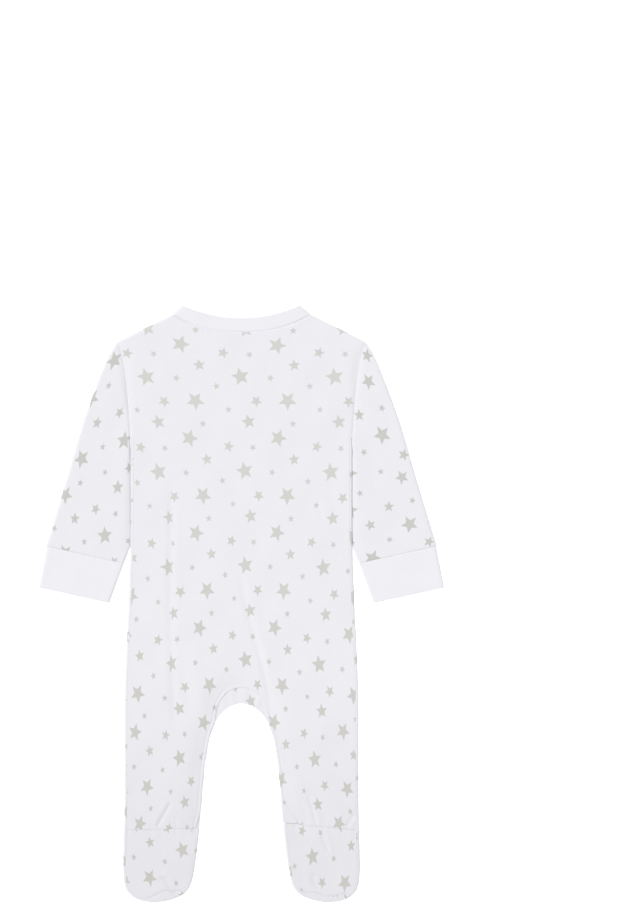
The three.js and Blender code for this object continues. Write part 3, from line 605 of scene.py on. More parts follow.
def tube(start, end, inner, outer, rows, columns, heights, shape):
    """A flattened tube whose plan is a patch between four border lines. Lines are functions of
    fractions, and each row goes along the lower layer, round the outer fold, back along the upper
    layer and round the inner fold. The lower layer's flat cloth lies turned over beside the fold."""
    a, b = inner(rows), outer(rows)
    fold_way = (b[-1] - b[0]) / np.linalg.norm(b[-1] - b[0])
    fold_out = np.array((-fold_way[1], fold_way[0]))
    turned_over = 2 * np.outer(fold_way, fold_way) - np.eye(2)
    places, flat = [], []
    for v, low, high in zip(rows, a, b):
        width = np.linalg.norm(high - low)
        height = heights[0] + (heights[1] - heights[0]) * v
        radius = height / 2
        turn = round_edge(radius, 0, 0, 180, 8)[1:-1]
        straight = radius + (width - 2 * radius) * columns
        back_way = straight[::-1]
        d = np.concatenate([straight, width - turn[:, 0], back_way, turn[::-1, 0], straight[:1]])
        z = np.concatenate([0 * straight, turn[:, 1], 0 * straight + height, turn[::-1, 1], [0]])
        plan_d, shaped_z = shape(v, d, z, height)
        u = plan_d / width
        p = (1 - v) * start(u) + v * end(u) + (1 - u)[:, None] * low + u[:, None] * high
        starts, ends = start(np.array([0, 1])), end(np.array([0, 1]))
        p -= (1 - v) * between(starts[0], starts[1], u) + v * between(ends[0], ends[1], u)
        places.append(np.column_stack([p, shaped_z]))
        way = (high - low) / width
        gone = np.concatenate([[0], np.cumsum(np.hypot(np.diff(d), np.diff(z)))])
        count = len(straight)
        top_start, top_end = count + len(turn), 2 * count + len(turn) - 1
        row = p.copy()
        edge = p[top_start] + fold_out * (gone[top_start] - gone[count - 1])
        row[:count] = edge + (p[:count] - p[count - 1]) @ turned_over
        round_it = gone[top_start] - gone[count:top_start]
        row[count:top_start] = p[top_start] + np.outer(round_it, fold_out)
        row[top_end:] = p[top_end] + np.outer(gone[top_end] - gone[top_end:], way)
        flat.append(row)
    return Grid(places, flat)


beside_gap = -0.2  # from the body's soft side to the sleeve, which presses into it
# Where the sleeve is tucked down beside the body: how far it is pressed, over what width, how much it is
# drawn in, and the shares of its length where that is full, eases off and ends
tuck = {"pressed": {"left": 0.38, "right": 0.24}, "width": 5.0, "squeeze": 0.65, "full": 0.09, "ease": 0.84,
        "end": 0.97}


def sleeve_tube(side):
    """A tube from the armhole to the cuff, lying close beside the body."""
    against = np.column_stack([side_x(np.array(SLEEVE_BESIDE)) + beside_gap, SLEEVE_BESIDE])
    beside = [sleeve_inner_start, SLEEVE_INNER[0], *against, SLEEVE_INNER[1], cuff_seam_inner]
    outside = [shoulder_tip, *SLEEVE_OUTER, sleeve_outer_end]

    def arm_edge(u):
        t = 1 - np.asarray(u, dtype=float)
        step = 1e-3
        way = armhole(np.clip(t + step, 0, 1)) - armhole(np.clip(t - step, 0, 1))
        way /= np.linalg.norm(way, axis=1)[:, None]
        return armhole(t) + np.column_stack([-way[:, 1], way[:, 0]]) * seam / 2

    def inner(v):
        line = curve_through(beside, v)
        line[0] = arm_edge([0])[0]
        return line

    def outer(v):
        line = curve_through(outside, v)
        line[0] = arm_edge([1])[0]
        return line

    def tucked(v, across, z, height):
        """The sleeve's cloth where its inner edge is pressed down and flat beside the body."""
        here = smooth_step(v / tuck["full"])
        here *= 1 - smooth_step((v - tuck["ease"]) / (tuck["end"] - tuck["ease"]))
        near = np.exp(-((across / tuck["width"]) ** 2)) * here
        return across * (1 - tuck["squeeze"] * near), z * (1 - tuck["pressed"][side] * near)

    ends = (inner(np.array([0, 1]))[1], outer(np.array([0, 1]))[1])
    rows = spread(70, 205, end=True)
    grid = tube(arm_edge, lambda u: between(*ends, u), inner, outer, rows, sleeve_columns,
                (body_height, cuff_height), tucked)
    return on_side(side, grid)


def cuff_tube(side):
    """A doubled tube sewn to the sleeve's end."""
    away = cuff_end_outer - cuff_seam_outer
    away = away / np.linalg.norm(away) * seam
    starts = (cuff_seam_inner + away, cuff_seam_outer + away)
    ends = (cuff_end_inner, cuff_end_outer)
    length = np.linalg.norm(ends[0] - starts[0])

    def rounded(v, across, z, height):
        return across, z + rim_drop((1 - v) * length) * (1 - 2 * z / height)

    grid = tube(lambda u: between(*starts, u), lambda u: between(*ends, u),
                lambda v: between(starts[0], ends[0], v), lambda v: between(starts[1], ends[1], v),
                spread(12, length, True, True, True), np.linspace(0, 1, 27), (cuff_height, cuff_height),
                rounded)
    return on_side(side, grid)


def neckband():
    """A doubled band round the neck, folded at both sides and open at the centre front."""
    across = spread(3, band_width, True, True, True)
    turn_over = rim_drop((1 - across) * band_width)
    low, high = {}, {}
    for layer, neck in NECK.items():
        low[layer] = neckline(layer, seam / 2)
        shares = np.linspace(fold_share, 0, neck["columns"] + 1)
        high[layer] = neck["line"](horn_tip, neck["top_y"], shares)
    columns = []

    def add(low_points, high_points, heights):
        for a, b, z in zip(low_points, high_points, heights):
            height = z + turn_over * (1 - 2 * z / body_height)
            columns.append(np.column_stack([between(a, b, across), height]))

    add(low["front"][::-1], high["front"][::-1], np.zeros(len(low["front"])))
    edge = neck_point + band_way * seam / 2
    horn_fold = NECK["back"]["line"](horn_tip, band_top_y, [fold_share])[0]
    front_fold = NECK["front"]["line"](horn_tip, front_band_top_y, [fold_share])[0]
    for d, z in round_edge(roll, 0, 0, 180, 8)[1:-1]:
        layer, fold_top = ("front", front_fold) if z < roll else ("back", horn_fold)
        t = np.array([d / roll])
        add(between(edge, low[layer][0], t), between(horn_tip, fold_top, t), [z])
    add(low["back"], high["back"], np.full(len(low["back"]), body_height))
    half = np.array(columns)
    other = half[:-1][::-1] * np.array((-1.0, 1.0, 1.0))
    places = np.concatenate([half, other])
    middle = places[:, len(across) // 2]
    run = np.concatenate([[0], np.cumsum(np.linalg.norm(np.diff(middle, axis=0), axis=1))])
    along_it, across_it = np.meshgrid(run, across * band_width, indexing="ij")
    return [Grid(places, np.stack([along_it, across_it], -1))]


def popper_strip_lines():
    """Outer and inner line of the strip from ankle to ankle round the crotch."""
    def leg(side):
        y = np.linspace(ANKLES[side]["inner_y"] + seam, INNER[0][0], strip_steps["leg"])
        return np.column_stack([inner_x(y), y])
    half = arch_points(strip_steps["arch"], 0)
    over = half[half[:, 1] > INNER[0][0] + arch_clear]
    right = np.vstack([leg("right"), over])
    left = np.vstack([leg("left"), over])
    line = np.vstack([right, mirrored(left)[::-1][1:]])
    inner_line = line - normals(line) * strip_width
    inner_line[[0, -1], 1] = line[[0, -1], 1] - strip_tuck
    return line, inner_line


def flat_strip(one, other, z):
    rows = np.array([(1 - t) * one + t * other for t in np.linspace(0, 1, strip_steps["across"])])
    return [level(rows, z)]


def placket(bottom, z):
    y = np.linspace(front_band_top_y, bottom, strip_steps["placket"])
    edges = [np.column_stack([np.full(len(y), x), y]) for x in (placket_half_width, -placket_half_width)]
    return flat_strip(*edges, z)


# The seams of the upper layer, which draw the cloth down beside them: from and to which share of the
# armhole, how deep it lies and how wide its hollow is
ARMHOLE_SEAM = ((0.0, 0.5, -0.5, 3.0), (0.05, 1.0, -0.9, 1.2))
neck_seam = (-0.95, 0.65)
cuff_seam = (-0.5, 0.8)
ankle_seam = (-0.15, 1.5)
toe_seam = (-0.6, 1.0)
hem_seam = (-2.4, 0.8)
hem_slope = (-1.85, 9.0)
# Where the toe seam shows: from and to which distance from the middle
TOE_SEAM_SHOWS = {"left": (57, 90), "right": (57, 100)}


def seam_lines():
    """Each seam of the body and sleeves as a line, how deep it lies and how wide its hollow is."""
    lines = [(armhole(np.linspace(start, end, 20)), depth, width)
             for start, end, depth, width in ARMHOLE_SEAM]
    lines.append((neckline("back", 0), *neck_seam))
    lines.append((between(cuff_seam_inner, cuff_seam_outer, np.linspace(0, 1, 12)), *cuff_seam))
    return [(line * (sign, 1), depth, width) for line, depth, width in lines for sign in (1, -1)]


def ankle_seam_lines():
    lines = []
    for side, ankle in ANKLES.items():
        ends = [(x, ankle_y) for x in (inner_x(ankle["inner_y"]), FOOT[0][0])]
        line = ankle_line(side, ends[0], ends[1], np.linspace(0, 1, 30), 0)
        lines.append((line * (ankle["sign"], 1), *ankle_seam))
    return lines


def toe_seam_lines():
    lines = []
    for side, ankle in ANKLES.items():
        foot = curve_through(FOOT, np.linspace(0, 1, 120))
        border = foot - normals(foot) * (roll + seam / 2 + toe_flap(foot, side))[:, None]
        low, high = TOE_SEAM_SHOWS[side]
        shows = (border[:, 1] < toe_flap_y) & (border[:, 0] > low) & (border[:, 0] < high)
        lines.append((border[shows] * (ankle["sign"], 1), *toe_seam))
    return lines


def hem_lines():
    """The hem along the back's inner edge, and how the cloth slopes down to it."""
    edge = back_edge()
    line = edge - normals(edge) * edge_radius
    return [(line, *hem_seam), (line, *hem_slope)]


SEAMS = seam_lines() + ankle_seam_lines() + toe_seam_lines() + hem_lines()
GATHERED = [seam_lines()[-2], seam_lines()[-1], *ankle_seam_lines()]


def seam_height(places):
    height = np.zeros(len(places))
    for line, depth, width in SEAMS:
        low, high = line.min(0) - 3 * width, line.max(0) + 3 * width
        near = np.all((places > low) & (places < high), axis=1)
        if near.any():
            distance, _ = distance_to(line, places[near])
            height[near] = np.minimum(height[near], depth * np.exp(-((distance / width) ** 2)))
    return height


def pucker_height(places):
    """Small gathers across the ankle seams and the cuff seams."""
    height = np.zeros(len(places))
    for line, _, _ in GATHERED:
        distance, at = distance_to(line, places)
        length = np.linalg.norm(np.diff(line, axis=0), axis=1).sum()
        turn = 2 * math.pi * at * length / pucker["pitch"]
        wave = np.sin(turn + pucker["wander"] * np.sin(turn * 0.31))
        wave *= 1 - pucker["vary"] + pucker["vary"] * np.sin(turn * 0.23 + 1)
        height += pucker["height"] * wave * np.exp(-distance / pucker["reach"]) * (distance < pucker["end"])
    return height


def popper_places():
    """Name and place of each popper: down the centre front and down each inner leg."""
    rows = [(f"popper_front_{i}", 0.0, float(y)) for i, y in enumerate(front_poppers, 1)]
    for side, ankle in ANKLES.items():
        for i, y in enumerate(leg_poppers, 1):
            x = ankle["sign"] * (float(inner_x(y)) + strip_width / 2)
            rows.append((f"popper_leg_{side}_{i}", x, float(y)))
    return rows


def popper_dimples(places):
    """How far the lower layers are lifted round the poppers, whose caps lie underneath."""
    height = np.zeros(len(places))
    for _, x, y in popper_places():
        distance = np.hypot(places[:, 0] - x, places[:, 1] - y)
        height += dimple["height"] * (1 - smooth_step((distance - dimple["radius"]) / dimple["ease"]))
    return height


def fold_cloth(places, own_creases):
    """Moves the upper layer by its creases and seams, and the lower one by its own few. A piece's own
    creases move its upper layer, or the whole of it where it has none."""
    plan = places[:, :2]
    share = np.clip(places[:, 2] / roll - 1, 0, 1)
    upper = places[:, 2] > roll * 1.02
    if upper.any():
        top = plan[upper]
        lift = crease_height(CREASES, top) + wave_height(top) + seam_height(top) + pucker_height(top)
        lift += crease_height(own_creases, top)
        places[upper, 2] += share[upper] * lift
    lower = places[:, 2] < roll * 0.9
    if lower.any():
        low_share = np.clip(1 - places[lower, 2] / roll, 0, 1)
        places[lower, 2] += popper_dimples(plan[lower])
        places[lower, 2] += low_share * crease_height(UNDER_CREASES, plan[lower])
    if not upper.any():
        places[:, 2] += crease_height(own_creases, plan)


# The print: its repeat, and where its first large star lies
repeat = np.array((89.0, 89.6))
first_star = np.array((-54.8, 246.9))
drawn_about = 22.6
# How the print lies on the body, by height: how much the cloth is drawn together across, how much
# lower it lies 100 mm out from the middle, and how far it has shifted to the right
BODY_PRINT = (
    (262, 1.043, 1.6, -0.9), (200, 0.99, 0.5, -0.1), (157, 0.947, 0.8, 1.4), (100, 0.895, 2.6, 1.6),
    (35, 0.832, 4.0, 0.4), (-22, 0.8, 6.7, -0.5), (-80, 0.772, 9.2, -0.6), (-150, 0.719, 10.5, -0.5),
    (-214, 0.706, 8.1, -1.3),
)
# Where a crease has taken in some of the print: its line, share and half width
taken_in = {"x": -66.5, "top": 112.0, "bottom": -120.0, "share": 0.55, "width": 6.0}
# Where the print has sunk below the neck: the middle of that place, by how much and how far around
sunk = {"x": 15.0, "y": 253.0, "drop": 2.7, "across": 38.0, "up": 24.0}
# How the print lies on the sleeves and soles: about which place, then its repeats across and down
# there, and how both grow across, up and with the square of the height
PIECE_PRINT = {
    "sleeve_left": ((-139, 127), (0.3213, 0.01399, -0.00328, -1.2e-5), (-0.3076, -0.00189, -0.01055, 0.4e-5)),
    "sleeve_right": ((140, 132), (-0.4229, 0.01145, 0.00367, 0.5e-5), (-0.3436, 0.00356, -0.01043, 1.0e-5)),
    "sole_left": ((-74, -243), (0.3313, 0.01451, 0.00194, 0), (0.4307, 0.00138, -0.01144, 0)),
    "sole_right": ((77, -241), (-0.2390, 0.01577, -0.00072, 0), (0.3565, -0.00031, -0.01078, 0)),
}


def body_print(flat):
    x, y = flat[..., 0], flat[..., 1]
    drawn, droop, shift = (smooth_read([(row[0], row[k]) for row in BODY_PRINT], y) for k in (1, 2, 3))
    down = first_star[1] - y - droop * (x / 100) ** 2
    away = ((x - sunk["x"]) / sunk["across"]) ** 2 + ((y - sunk["y"]) / sunk["up"]) ** 2
    down -= sunk["drop"] * np.exp(-away)
    beside = (x - taken_in["x"]) / taken_in["width"]
    along_it = smooth_step((taken_in["top"] - y) / 30) * smooth_step((y - taken_in["bottom"]) / 30)
    x = x - shift + taken_in["share"] * taken_in["width"] * beside * np.exp(-beside ** 2) * along_it
    across = drawn_about + (x - drawn_about) / drawn - first_star[0]
    return np.stack([across / repeat[0], down / repeat[1]], -1)


def strip_print(flat):
    """The print of the strip at the crotch, which lies a little higher than the back's."""
    return body_print(flat - np.array((0.0, 3.4)))


def piece_print(name):
    middle, across, down = PIECE_PRINT[name]

    def law(flat):
        x, y = flat[..., 0] - middle[0], flat[..., 1] - middle[1]
        terms = np.stack([np.ones_like(x), x, y, y * y], -1)
        return np.stack([terms @ np.array(across), terms @ np.array(down)], -1)
    return law


def plain_run(flat):
    """Places along and across a band, in metres, for the direction of its ribs."""
    return flat * mm


def mesh_piece(name, grids, law, wall, materials, own_creases):
    """Makes one piece of cloth from its grids: joins them, folds them and gives them a wall, with a
    material outside and one inside."""
    verts, faces, corners, start = [], [], [], 0
    for g in grids:
        rows, columns = g.places.shape[:2]
        number = np.arange(rows * columns).reshape(rows, columns) + start
        quads = np.stack([number[:-1, :-1], number[:-1, 1:], number[1:, 1:], number[1:, :-1]], -1)
        quads = quads.reshape(-1, 4)
        faces.append(quads[:, ::-1] if g.turned else quads)
        verts.append(g.places.reshape(-1, 3))
        corners.append(law(g.flat).reshape(-1, 2))
        start += rows * columns
    places = np.vstack(verts)
    fold_cloth(places, own_creases)
    faces, corners = np.vstack(faces), np.vstack(corners)
    mesh = bpy.data.meshes.new(name)
    mesh.from_pydata((places * mm).tolist(), [], faces.tolist())
    layer = mesh.uv_layers.new(name="print")
    layer.data.foreach_set("uv", corners[faces.ravel()].ravel())
    piece = bpy.data.objects.new(name, mesh)
    bpy.context.scene.collection.objects.link(piece)
    only(piece)
    bpy.ops.object.mode_set(mode="EDIT")
    bpy.ops.mesh.select_all(action="SELECT")
    bpy.ops.mesh.remove_doubles(threshold=0.02 * mm)
    bpy.ops.mesh.dissolve_degenerate(threshold=0.001 * mm)
    bpy.ops.object.mode_set(mode="OBJECT")
    for material in materials:
        piece.data.materials.append(material)
    shell = piece.modifiers.new("wall", "SOLIDIFY")
    shell.thickness = wall * mm
    shell.offset = -1
    shell.material_offset = 1
    bpy.ops.object.modifier_apply(modifier="wall")
    bpy.ops.object.shade_smooth_by_angle(angle=math.radians(50))
    return piece


def only(piece):
    bpy.ops.object.select_all(action="DESELECT")
    piece.select_set(True)
    bpy.context.view_layer.objects.active = piece


# Shader maths
class Wire:
    """A socket with the sums that are written on it."""

    def __init__(self, tree, socket):
        self.tree, self.socket = tree, socket

    def sum(self, operation, *values):
        return node(self.tree, "ShaderNodeMath", {"operation": operation}, *values)

    def __add__(self, other):
        return self.sum("ADD", self, other)

    def __sub__(self, other):
        return self.sum("SUBTRACT", self, other)

    def __rsub__(self, other):
        return self.sum("SUBTRACT", other, self)

    def __mul__(self, other):
        return self.sum("MULTIPLY", self, other)

    __radd__ = __add__
    __rmul__ = __mul__


def node(tree, kind, settings, *values, out=0, **named):
    """Adds a node, sets it and its sockets, and gives one of its outputs."""
    made = tree.nodes.new(kind)
    for key, value in settings.items():
        setattr(made, key, value)
    for key, value in [*enumerate(values), *named.items()]:
        socket = made.inputs[key if isinstance(key, int) else key.replace("_", " ")]
        if isinstance(value, Wire):
            tree.links.new(value.socket, socket)
        else:
            socket.default_value = value
    return Wire(tree, made.outputs[out])


def new_material(name, roughness, sheen=0.0):
    material = bpy.data.materials.new(name)
    material.use_nodes = True
    tree = material.node_tree
    shader = tree.nodes["Principled BSDF"]
    shader.inputs["Roughness"].default_value = roughness
    shader.inputs["Sheen Weight"].default_value = sheen
    shader.inputs["Sheen Roughness"].default_value = 0.6
    shader.inputs["Specular IOR Level"].default_value = 0.2
    return material, tree, shader


def link(tree, value, shader, socket):
    tree.links.new(value.socket, shader.inputs[socket])


# The stars of one repeat: across and down in repeats, tip radius in millimetres, turn in degrees
STARS = (
    (0.000, 0.000, 8.9, -4), (0.611, 0.348, 9.1, 30), (0.111, 0.606, 9.2, 54),
    (0.181, 0.226, 5.9, 24), (0.437, 0.089, 5.6, 0), (0.772, 0.611, 5.9, 54),
    (0.675, 0.828, 7.2, 29), (0.166, 0.850, 3.6, 20), (0.712, 0.102, 3.6, 54),
    (0.929, 0.363, 3.6, 0), (0.349, 0.451, 3.6, 28), (0.464, 0.699, 3.3, 13),
)
star_waist = 0.45  # inner radius of a star, as a share of its tip radius
knit_pitch = 1.0  # from one loop to the next, in millimetres


def star_mask(across, down):
    """How deep a place lies inside the nearest star, in millimetres."""
    fifth = math.radians(36)
    deepest = None
    for x, y, radius, turn in STARS:
        px = ((across - (x - 0.5)).sum("WRAP", across - (x - 0.5), 1.0, 0.0) - 0.5) * float(repeat[0])
        py = (0.5 - (down - (y - 0.5)).sum("WRAP", down - (y - 0.5), 1.0, 0.0)) * float(repeat[1])
        reach = px.sum("SQRT", px * px + py * py)
        angle = py.sum("ARCTAN2", py, px) - math.radians(turn)
        folded = angle.sum("ABSOLUTE", angle.sum("WRAP", angle, fifth, -fifth))
        normal = np.array((star_waist * math.sin(fifth), 1 - star_waist * math.cos(fifth)))
        normal /= np.linalg.norm(normal)
        side = folded.sum("COSINE", folded) * float(normal[0]) + folded.sum("SINE", folded) * float(normal[1])
        depth = radius * float(normal[0]) - reach * side
        deepest = depth if deepest is None else deepest.sum("MAXIMUM", deepest, depth)
    return deepest


def knit_height(across, down):
    """Height of the knitted loops: wales across and courses down."""
    turns = 2 * math.pi * repeat / knit_pitch
    ribs = across.sum("SINE", across * float(turns[0]))
    rows = down.sum("SINE", down * float(turns[1]))
    return ribs * 0.6 + rows * 0.4


# Ink of the stars, which lies thicker on the sleeves
body_inks = ((0.608, 0.604, 0.575, 1), (0.544, 0.534, 0.500, 1))  # at the chest and at the feet, where painted shade makes it darker
sleeve_inks = ((0.545, 0.549, 0.518, 1), (0.545, 0.549, 0.518, 1))
cloth_whites = ((0.775, 0.770, 0.808, 1), (0.803, 0.797, 0.832, 1))
# The cloth's whites at the legs and feet, darker than the chest's by painted shade
shaded_foot_whites = ((0.722, 0.714, 0.748, 1), (0.752, 0.744, 0.780, 1))
shade_heights = {"chest": 0.10, "hip": -0.07, "foot": -0.24}  # heights in metres between which painted shade darkens the ink and the cloth towards the feet
rib_whites = ((0.785, 0.780, 0.818, 1), (0.815, 0.810, 0.848, 1))
plastic_whites = ((0.80, 0.80, 0.80, 1), (0.86, 0.86, 0.85, 1))
thread_whites = ((0.76, 0.76, 0.78, 1), (0.86, 0.86, 0.88, 1))
floor_whites = ((0.955, 0.955, 0.955, 1), (0.965, 0.965, 0.965, 1))
ink_edge = 0.25  # width of the soft edge of a star, in millimetres
ragged = 0.3  # how far that edge wanders
rib_pitch = 1.7


def noise(tree, scale, detail):
    place = node(tree, "ShaderNodeTexCoord", {}, out="Object")
    return node(tree, "ShaderNodeTexNoise", {}, Vector=place, Scale=scale, Detail=detail)


def parts_of(tree, vector):
    """The three numbers of a vector."""
    split = tree.nodes.new("ShaderNodeSeparateXYZ")
    tree.links.new(vector.socket, split.inputs[0])
    return [Wire(tree, number) for number in split.outputs]


def print_place(tree):
    return parts_of(tree, node(tree, "ShaderNodeUVMap", {"uv_map": "print"}))[:2]


def colour_mix(tree, factor, one, other):
    mix = tree.nodes.new("ShaderNodeMix")
    mix.data_type = "RGBA"
    for socket, value in zip((mix.inputs[0], mix.inputs[6], mix.inputs[7]), (factor, one, other)):
        if isinstance(value, Wire):
            tree.links.new(value.socket, socket)
        else:
            socket.default_value = value
    return Wire(tree, mix.outputs[2])


def cloth_surface(tree, shader, strength, raised=0.0):
    """The fuzz of the cloth over what its knit raises."""
    fuzz = noise(tree, 420.0, 3.0)
    bump = node(tree, "ShaderNodeBump", {}, Strength=strength, Distance=0.0002, Height=raised + fuzz)
    link(tree, bump, shader, "Normal")


def star_jersey(name, inks):
    material, tree, shader = new_material(name, 0.92, 0.08)
    across, down = print_place(tree)
    mottle, speckle = noise(tree, 55.0, 4.0), noise(tree, 900.0, 2.0)
    inside = star_mask(across, down) + (speckle - 0.5) * ragged
    ink = node(tree, "ShaderNodeMapRange", {}, inside, -ink_edge, ink_edge, 0.0, 1.0)
    ink = ink * (0.90 + mottle * 0.2 - speckle * 0.08)
    ink = ink.sum("MINIMUM", ink, 1.0)
    # Painted shade: the star ink darkens from the chest down to the feet, and the white from the hip down
    up = parts_of(tree, node(tree, "ShaderNodeTexCoord", {}, out="Object"))[1]
    low = node(tree, "ShaderNodeMapRange", {}, up, shade_heights["chest"], shade_heights["foot"], 0.0, 1.0)
    shade_share = node(tree, "ShaderNodeMapRange", {}, up, shade_heights["hip"], shade_heights["foot"], 0.0, 1.0)
    white = colour_mix(tree, mottle, *cloth_whites)
    white = colour_mix(tree, shade_share, white, colour_mix(tree, mottle, *shaded_foot_whites))
    star = colour_mix(tree, low, *inks)
    link(tree, colour_mix(tree, ink, white, star), shader, "Base Color")
    cloth_surface(tree, shader, 0.35, knit_height(across, down) * 0.5)
    return material


def jersey_reverse():
    """The unprinted inside of the jersey."""
    material, tree, shader = new_material("jersey_reverse", 0.94, 0.08)
    link(tree, colour_mix(tree, noise(tree, 55.0, 4.0), *cloth_whites), shader, "Base Color")
    cloth_surface(tree, shader, 0.35)
    return material


def plain_rib():
    material, tree, shader = new_material("plain_rib", 0.93, 0.08)
    across, _ = print_place(tree)
    link(tree, colour_mix(tree, noise(tree, 60.0, 4.0), *rib_whites), shader, "Base Color")
    ribs = across.sum("SINE", across * (2 * math.pi / (rib_pitch * mm)))
    cloth_surface(tree, shader, 0.25, ribs * 0.3)
    return material


def clouded(name, roughness, scale, detail, *colours):
    """A material whose colour clouds a little between two, with the clouds."""
    material, tree, shader = new_material(name, roughness)
    cloud = noise(tree, scale, detail)
    link(tree, colour_mix(tree, cloud, *colours), shader, "Base Color")
    return material, tree, shader, cloud


def popper_plastic():
    material, tree, shader, cloud = clouded("popper_plastic", 0.35, 300.0, 3.0, *plastic_whites)
    rough = node(tree, "ShaderNodeMapRange", {}, cloud, 0.0, 1.0, 0.28, 0.42)
    link(tree, rough, shader, "Roughness")
    return material


def floor_white():
    material, _, shader, _ = clouded("floor_white", 0.95, 8.0, 2.0, *floor_whites)
    shader.inputs["Emission Color"].default_value = (1, 1, 1, 1)
    shader.inputs["Emission Strength"].default_value = floor_glow
    return material


# Camera straight above, and plain soft light
view_length = 0.8683  # what the picture's long side takes in, in metres
camera_place = (0.0746, 0.1392, 4.0)
room_light = 0.55
lamp_light = 1.84
lamp_width = 50.0  # degrees of sky that the lamp fills
lamp_turn = (-9.0, -20.0, 0.0)  # degrees from straight above, towards the top left
floor_glow = 0.6
floor_size, floor_level = 6.0, -0.0002
sensor = 36.0  # height of the camera's sensor


def add_camera():
    bpy.ops.object.camera_add(location=camera_place, rotation=(0, 0, 0))
    camera = bpy.context.object
    camera.data.sensor_fit = "VERTICAL"
    camera.data.sensor_height = sensor
    camera.data.lens = sensor * camera_place[2] / view_length
    camera.data.clip_end = 20
    bpy.context.scene.camera = camera


def add_stage():
    bpy.ops.mesh.primitive_plane_add(size=floor_size, location=(0, 0, floor_level))
    floor = bpy.context.object
    floor.name = "floor"
    floor.data.materials.append(floor_white())
    world = bpy.data.worlds.new("soft_room")
    world.use_nodes = True
    background = world.node_tree.nodes["Background"]
    background.inputs["Color"].default_value = (1, 1, 1, 1)
    background.inputs["Strength"].default_value = room_light
    bpy.context.scene.world = world
    bpy.ops.object.light_add(type="SUN", location=(-1, 1, 3))
    lamp = bpy.context.object
    lamp.rotation_euler = [math.radians(a) for a in lamp_turn]
    lamp.data.angle = math.radians(lamp_width)
    lamp.data.energy = lamp_light
    bpy.context.scene.view_settings.view_transform = "Standard"


add_camera()
add_stage()

printed = star_jersey("star_jersey", body_inks)
sleeve_printed = star_jersey("star_jersey_sleeve", sleeve_inks)
rib, plastic, plain_side = plain_rib(), popper_plastic(), jersey_reverse()
thread = clouded("thread_white", 0.6, 900.0, 2.0, *thread_whites)[0]

# Each cloth: its wall, the material outside and inside, and its slot
BODY_CLOTH = (jersey, printed, plain_side, "star_jersey")
SLEEVE_CLOTH = (jersey, sleeve_printed, plain_side, "star_jersey")
STRIP_CLOTH = (jersey, printed, printed, "star_jersey")
RIB_CLOTH = (ribbing, rib, rib, "plain_rib")


def sew(node_name, grids, law, cloth, own_creases=()):
    wall, outside, inside, slot = cloth
    piece = mesh_piece(f"{node_name}_cloth", grids, law, wall, (outside, inside), own_creases)
    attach(piece, "root")
    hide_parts(node_name)


sew("back", back_panel(), body_print, BODY_CLOTH)
for side_name in ("left", "right"):
    front, sole, sleeve, cuff = (f"{piece}_{side_name}" for piece in ("front", "sole", "sleeve", "cuff"))
    dips = ANKLE_DIPS[side_name]
    sew(front, front_panel(side_name), body_print, BODY_CLOTH, dips)
    sew(sole, sole_panel(side_name), piece_print(sole), BODY_CLOTH, dips)
    sew(sleeve, sleeve_tube(side_name), piece_print(sleeve), SLEEVE_CLOTH)
    sew(cuff, cuff_tube(side_name), plain_run, RIB_CLOTH)
sew("neckband", neckband(), plain_run, RIB_CLOTH)
sew("inner_leg_strip", flat_strip(*popper_strip_lines(), strip_level), strip_print, STRIP_CLOTH,
    STRIP_CREASES)
sew("placket_over", placket(crotch_y + seam, 0), body_print, STRIP_CLOTH)
sew("placket_under", placket(crotch_y + strip_width + seam, strip_level), body_print, STRIP_CLOTH)

# Poppers: a cap with a dished face underneath, a post through the cloth and a stud ring on top
popper_radius, post_radius, cap_depth, popper_height = 4.5, 3.0, 0.8, 2.9
post_inset = 0.8 * cap_depth
popper_edge = 0.18
dish = {"rim": 1.1, "depth": 0.3}


def disc(radius, depth, x, y, bottom):
    bpy.ops.object.select_all(action="DESELECT")
    place = (x * mm, y * mm, (bottom + depth / 2) * mm)
    bpy.ops.mesh.primitive_cylinder_add(vertices=28, radius=radius * mm, depth=depth * mm, location=place)
    return bpy.context.object


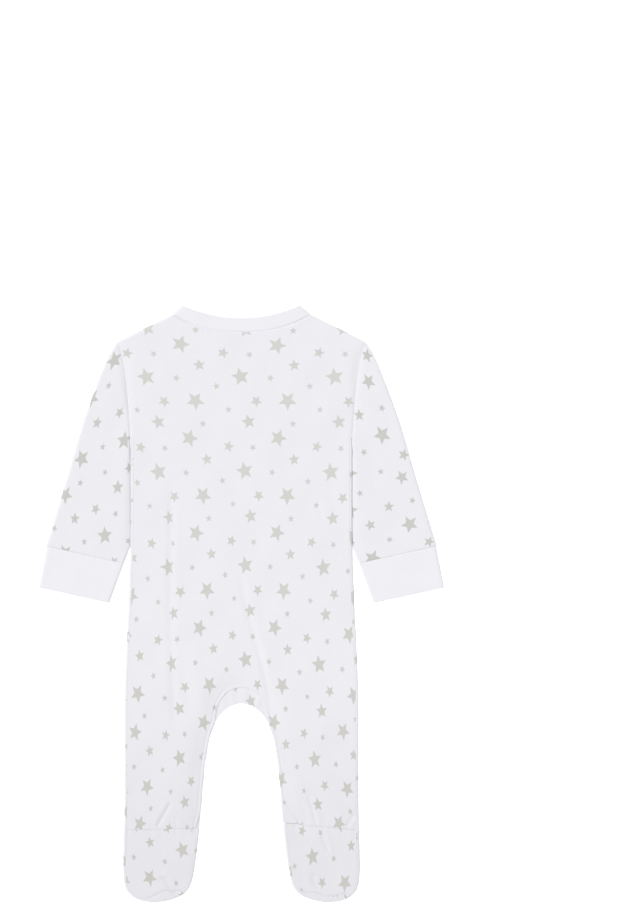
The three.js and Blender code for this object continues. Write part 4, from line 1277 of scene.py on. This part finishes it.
def dished(piece, facing):
    """Sinks the middle of a disc's face, on its underside or its top."""
    for face in piece.data.polygons:
        face.select = face.normal.z * facing > 0.9
    bpy.ops.object.mode_set(mode="EDIT")
    bpy.ops.mesh.select_mode(type="FACE")
    bpy.ops.mesh.inset(thickness=dish["rim"] * mm)
    bpy.ops.transform.translate(value=(0, 0, -facing * dish["depth"] * mm))
    bpy.ops.mesh.inset(thickness=dish["rim"] * mm)
    bpy.ops.transform.translate(value=(0, 0, facing * dish["depth"] * mm / 2))
    bpy.ops.object.mode_set(mode="OBJECT")
    return piece


def finish_small(piece, name, material):
    piece.name = name
    only(piece)
    bpy.ops.object.transform_apply(location=True, rotation=True, scale=True)
    bpy.ops.object.shade_smooth_by_angle(angle=math.radians(40))
    piece.data.materials.append(material)
    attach(piece, "root")


def popper(name, x, y):
    cap = dished(disc(popper_radius, cap_depth, x, y, 0), -1)
    stud = dished(disc(popper_radius, cap_depth, x, y, popper_height - cap_depth), 1)
    post = disc(post_radius, popper_height - 2 * post_inset, x, y, post_inset)
    for part in (cap, stud, post):
        part.select_set(True)
    bpy.context.view_layer.objects.active = cap
    bpy.ops.object.join()
    edge = cap.modifiers.new("edge", "BEVEL")
    edge.width, edge.segments, edge.limit_method = popper_edge * mm, 2, "ANGLE"
    bpy.ops.object.modifier_apply(modifier="edge")
    finish_small(cap, f"{name}_cap", plastic)
    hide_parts(name)


for popper_place in popper_places():
    popper(*popper_place)

# Stitches along both edges of the front opening, on the side that it lies on
stitch = {"pitch": 2.8, "length": 2.0, "width": 0.4, "height": 0.3, "inset": 1.6, "top": 232, "bottom": -88}


def stitch_row(name, x):
    bpy.ops.object.select_all(action="DESELECT")
    bpy.ops.mesh.primitive_uv_sphere_add(segments=6, ring_count=4, radius=0.5 * mm,
                                         location=(x * mm, stitch["top"] * mm, stitch["height"] / 4 * mm))
    row = bpy.context.object
    row.scale = (stitch["width"], stitch["length"], stitch["height"])
    bpy.ops.object.transform_apply(location=False, rotation=False, scale=True)
    run = row.modifiers.new("run", "ARRAY")
    run.count = int((stitch["top"] - stitch["bottom"]) / stitch["pitch"])
    run.use_relative_offset = False
    run.use_constant_offset = True
    run.constant_offset_displace = (0, -stitch["pitch"] * mm, 0)
    bpy.ops.object.modifier_apply(modifier="run")
    finish_small(row, name, thread)


for end, side_name in ((1, "right"), (-1, "left")):
    stitch_row(f"placket_stitches_{side_name}", end * (placket_half_width - stitch["inset"]))
